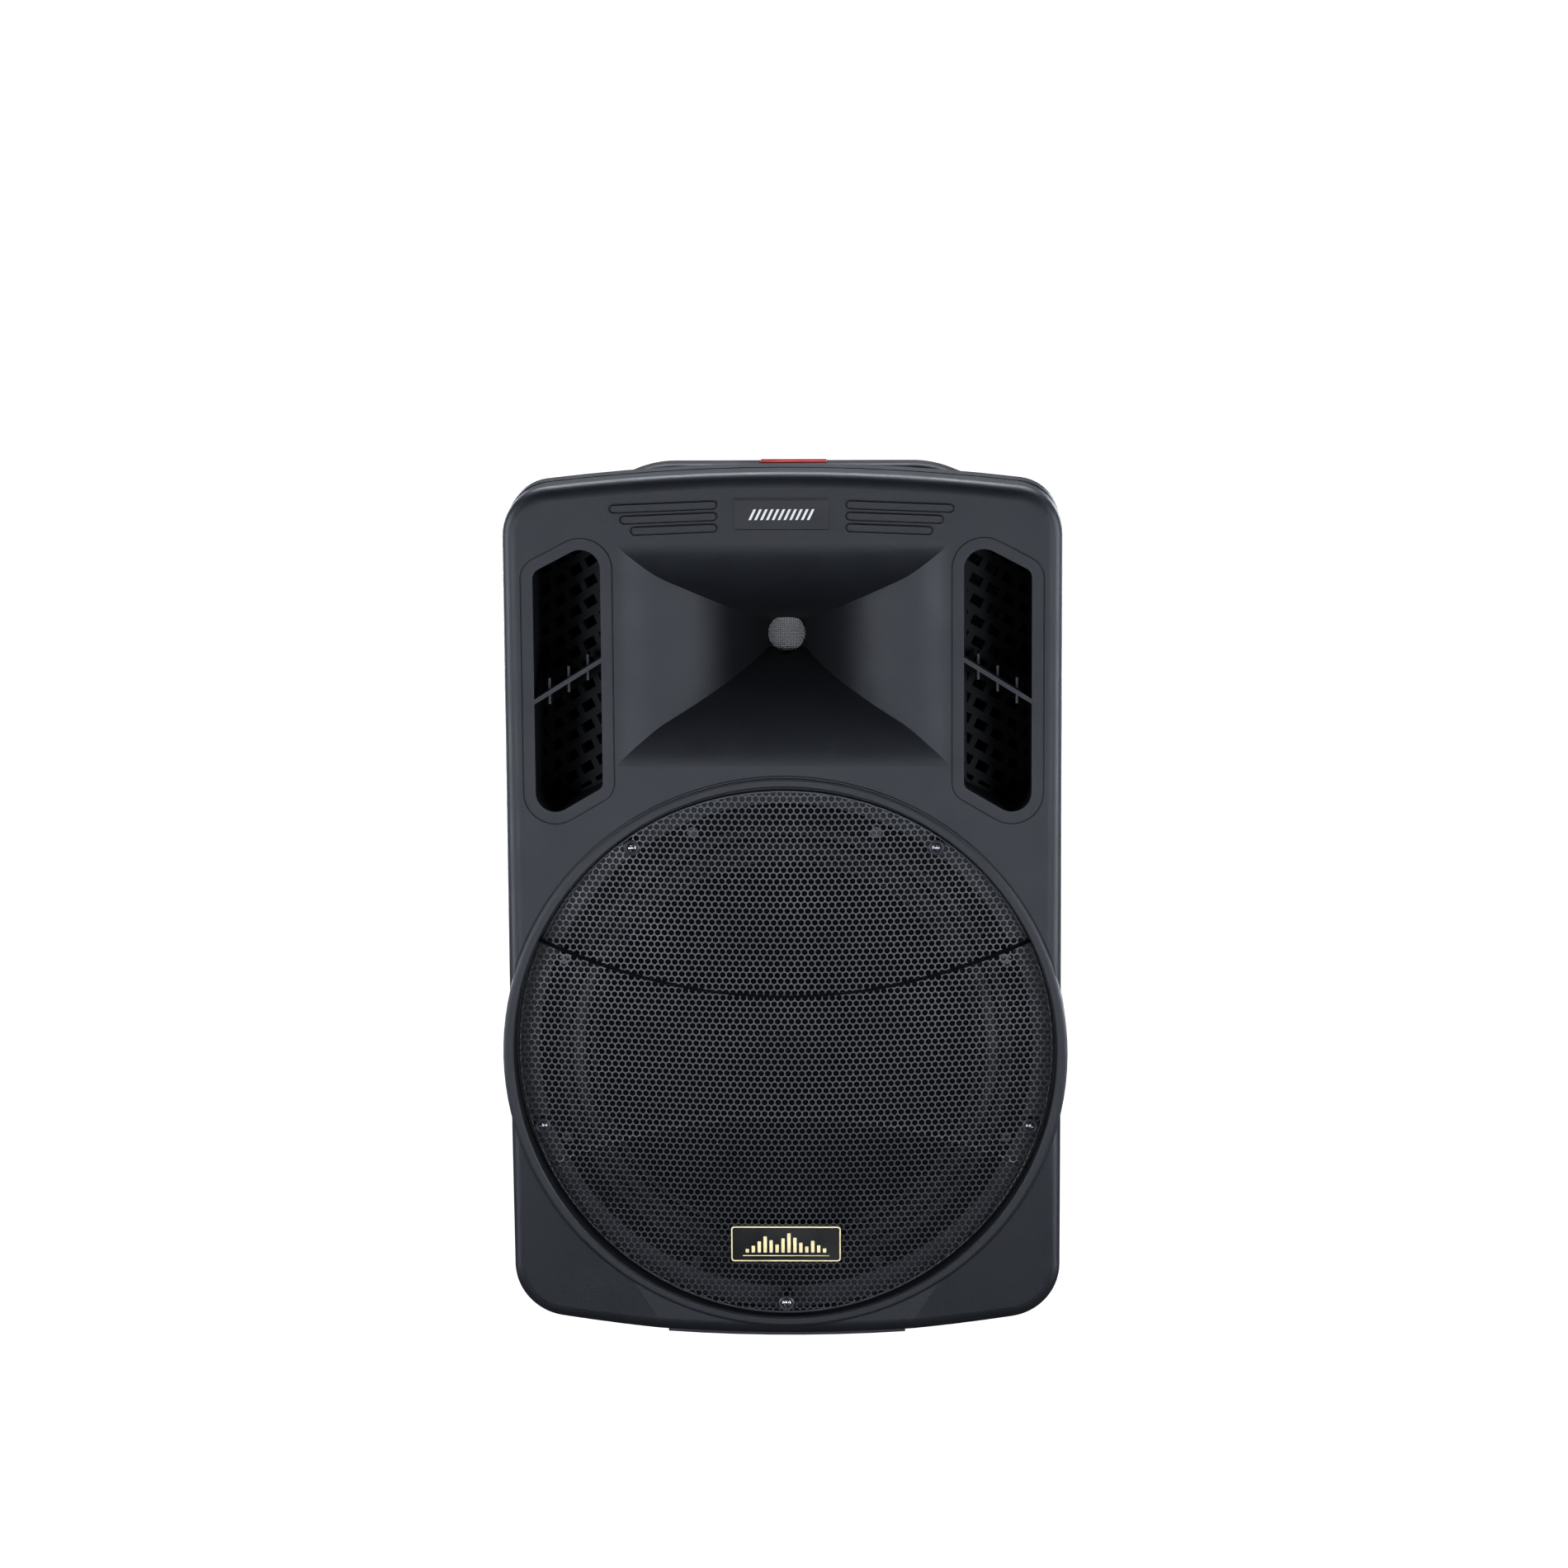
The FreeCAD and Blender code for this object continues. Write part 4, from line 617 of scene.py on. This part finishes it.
# ---- rear panel markings ------------------------------------------------------------------
def back_bar(cx, cz, width, height, angle, y_panel, rise):
    """A thin printed bar on the back, turned about its middle."""
    c, s = math.cos(angle), math.sin(angle)
    u0, v0 = width / 2, height / 2
    corners = [(-u0, -v0), (u0, -v0), (u0, v0), (-u0, v0)]
    flat = [(cx + u * c + v * s, cz - u * s + v * c) for u, v in corners]
    verts = [(x, y_panel, z) for x, z in flat] + [(x, y_panel + rise, z) for x, z in flat]
    faces = [(0, 1, 2, 3), (7, 6, 5, 4)] + [(i, i + 4, (i + 1) % 4 + 4, (i + 1) % 4) for i in range(4)]
    return verts, faces


def panel_marks():
    """Dial ticks round each knob, and rules between the panel's sections."""
    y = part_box("media_player")[1].y - 3 * MM
    parts = []
    for name in KNOBS:
        low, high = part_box(name)
        cx, cz = (low.x + high.x) / 2, (low.z + high.z) / 2
        for angle in TICK_ANGLES:
            a = math.radians(angle)
            tall = 2.6 * MM if angle % 150 == 0 else 1.6 * MM
            x, z = cx - TICK_R * math.sin(a), cz + TICK_R * math.cos(a)
            parts.append(back_bar(x, z, PRINT_W, tall, -a, y, PRINT_RISE))
    for z in RULE_HEIGHTS:
        parts.append(back_bar(0, z, RULE_LENGTH, PRINT_W, 0.0, y, PRINT_RISE))
    verts, faces = join(parts)
    piece("panel_marks", verts, faces, WHITE_PRINT, "cabinet")


def knob_pointers():
    """A white line on each knob, which turns with it."""
    width, tall, out, sunk, rise = 1.1 * MM, 7.0 * MM, 5.7 * MM, 0.9 * MM, 0.85 * MM
    for name in KNOBS:
        low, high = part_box(name)
        cx, cz = (low.x + high.x) / 2, (low.z + high.z) / 2
        verts, faces = back_bar(cx, cz + out, width, tall, 0.0, high.y - sunk, rise)
        piece(name + "_pointer", verts, faces, WHITE_PRINT, name)


def display_bars():
    """A lit level meter behind the player's window."""
    low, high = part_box("media_display")
    first, pitch, width, foot, rise = 3.5 * MM, 3.6 * MM, 2.2 * MM, 2 * MM, 0.06 * MM
    parts = []
    for i, level in enumerate([5, 8, 11, 7, 9, 12, 6, 4, 7, 10]):
        tall = level * MM
        x, z = low.x + first + i * pitch, low.z + foot + tall / 2
        parts.append(back_bar(x, z, width, tall, 0.0, high.y, rise))
    verts, faces = join(parts)
    piece("display_level_bars", verts, faces, DISPLAY_BARS, "cabinet")


# ---- stage, lights and camera -------------------------------------------------------------
def build_stage():
    """A round white floor that curves up into a wall on every side."""
    flat_r, bend_r, wall_z, steps = 7.0, 2.0, 9.0, 96
    angles = [math.radians(10 * k) for k in range(10)]
    profile = [(flat_r + bend_r * math.sin(a), bend_r - bend_r * math.cos(a)) for a in angles]
    profile.append((flat_r + bend_r, wall_z))
    turns = [2 * math.pi * i / steps for i in range(steps)]
    verts = [(r * math.cos(t), r * math.sin(t), z) for r, z in profile for t in turns]
    faces = [tuple(range(steps))]
    for k in range(len(profile) - 1):
        for i in range(steps):
            j = (i + 1) % steps
            faces.append((k * steps + i, k * steps + j, (k + 1) * steps + j, (k + 1) * steps + i))
    mesh = bpy.data.meshes.new("floor")
    mesh.from_pydata(verts, [], faces)
    mesh.polygons.foreach_set("use_smooth", [True] * len(mesh.polygons))
    floor = bpy.data.objects.new("floor", mesh)
    bpy.context.scene.collection.objects.link(floor)
    paper = surface("white_paper", (0.86, 0.86, 0.86), 0.9, vary=0.005, grain=0.0, emission=1.3)
    mesh.materials.append(paper)
    floor.visible_diffuse = False
    floor.visible_glossy = False


def build_world():
    """A faint even light from all round."""
    world = bpy.data.worlds.new("studio")
    bpy.context.scene.world = world
    world.use_nodes = True
    world.node_tree.nodes["Background"].inputs["Color"].default_value = (1, 1, 1, 1)
    world.node_tree.nodes["Background"].inputs["Strength"].default_value = 0.08


def softbox(name, place, target, size, watts):
    """A soft rectangular lamp at place, which shines at target."""
    data = bpy.data.lights.new(name, "AREA")
    data.shape = "RECTANGLE"
    data.size, data.size_y = size
    data.energy = watts
    data.color = (0.88, 0.92, 1.0)
    lamp = bpy.data.objects.new(name, data)
    bpy.context.scene.collection.objects.link(lamp)
    lamp.location = place
    lamp.rotation_mode = "QUATERNION"
    lamp.rotation_quaternion = (Vector(target) - Vector(place)).to_track_quat("-Z", "Y")


def build_lights():
    """Panels at both sides, in front, above and behind, and a low one for the light off the floor."""
    softbox("left_panel", (-1.95, -2.8, 0.36), (0, 0, 0.35), (1.2, 1.0), 44)
    softbox("right_panel", (1.95, -2.8, 0.36), (0, 0, 0.35), (1.2, 1.0), 43)
    softbox("left_softbox", (-2.2, -0.4, 0.5), (0, 0, 0.35), (1.0, 2.0), 50)
    softbox("right_softbox", (2.2, -0.4, 0.5), (0, 0, 0.35), (1.0, 2.0), 62)
    softbox("front_panel", (0, -4.4, 0.5), (0, 0, 0.35), (2.4, 0.8), 14)
    softbox("floor_bounce", (0, -1.9, 0.04), (0, -0.18, 0.3), (2.6, 0.5), 18)
    softbox("top_back_strip", (0, 1.2, 2.4), (0, 0, 0.6), (2.4, 0.5), 75)
    softbox("back_left_softbox", (-1.7, 2.9, 0.45), (0, 0, 0.35), (1.4, 1.4), 60)
    softbox("back_right_softbox", (1.7, 2.9, 0.45), (0, 0, 0.35), (1.4, 1.4), 60)


def build_camera():
    """A long lens a little above and to the right of the cabinet's axis."""
    data = bpy.data.cameras.new("camera")
    data.sensor_width = 36.0
    data.lens = 120.1
    data.shift_y = 0.081
    cam = bpy.data.objects.new("camera", data)
    bpy.context.scene.collection.objects.link(cam)
    azimuth, elevation, distance, roll = math.radians(1.8), math.radians(11.5), 4.0, math.radians(-0.37)
    target = Vector((0, FACE_Y, 0.341))
    back = Vector((math.sin(azimuth) * math.cos(elevation), -math.cos(azimuth) * math.cos(elevation),
                   math.sin(elevation)))
    cam.location = target + back * distance
    cam.rotation_mode = "QUATERNION"
    turn = (-back).to_track_quat("-Z", "Y").to_matrix() @ Matrix.Rotation(roll, 3, "Z")
    cam.rotation_quaternion = turn.to_quaternion()
    bpy.context.scene.camera = cam


bpy.context.scene.view_settings.view_transform = "Standard"
bpy.context.scene.view_settings.gamma = 0.82
build_camera()
build_stage()
build_world()
build_lights()
dress_frame()
perforated_band("grille_skin_upper", MIDDLE_SKIN_TOP, math.inf, ["speaker_grille"])
perforated_band("grille_skin_middle", LOWER_SKIN_TOP, MIDDLE_SKIN_TOP)
perforated_band("grille_skin_lower", -math.inf, LOWER_SKIN_TOP)
grille_rim()
# The fold strips are drawn near-black as painted shade along the creases.
fold_band("grille_upper_fold", upper_crease, height=4.0 * MM, sink=3.0 * MM, proud=0.25 * MM)
fold_band("grille_lower_fold", lower_crease, height=0.6 * MM, sink=0.1 * MM, proud=0.15 * MM)
cup_washers()
domed_screws()
badge()
plate_trim()
plate_print()
throat_mesh()
panel_marks()
knob_pointers()
display_bars()
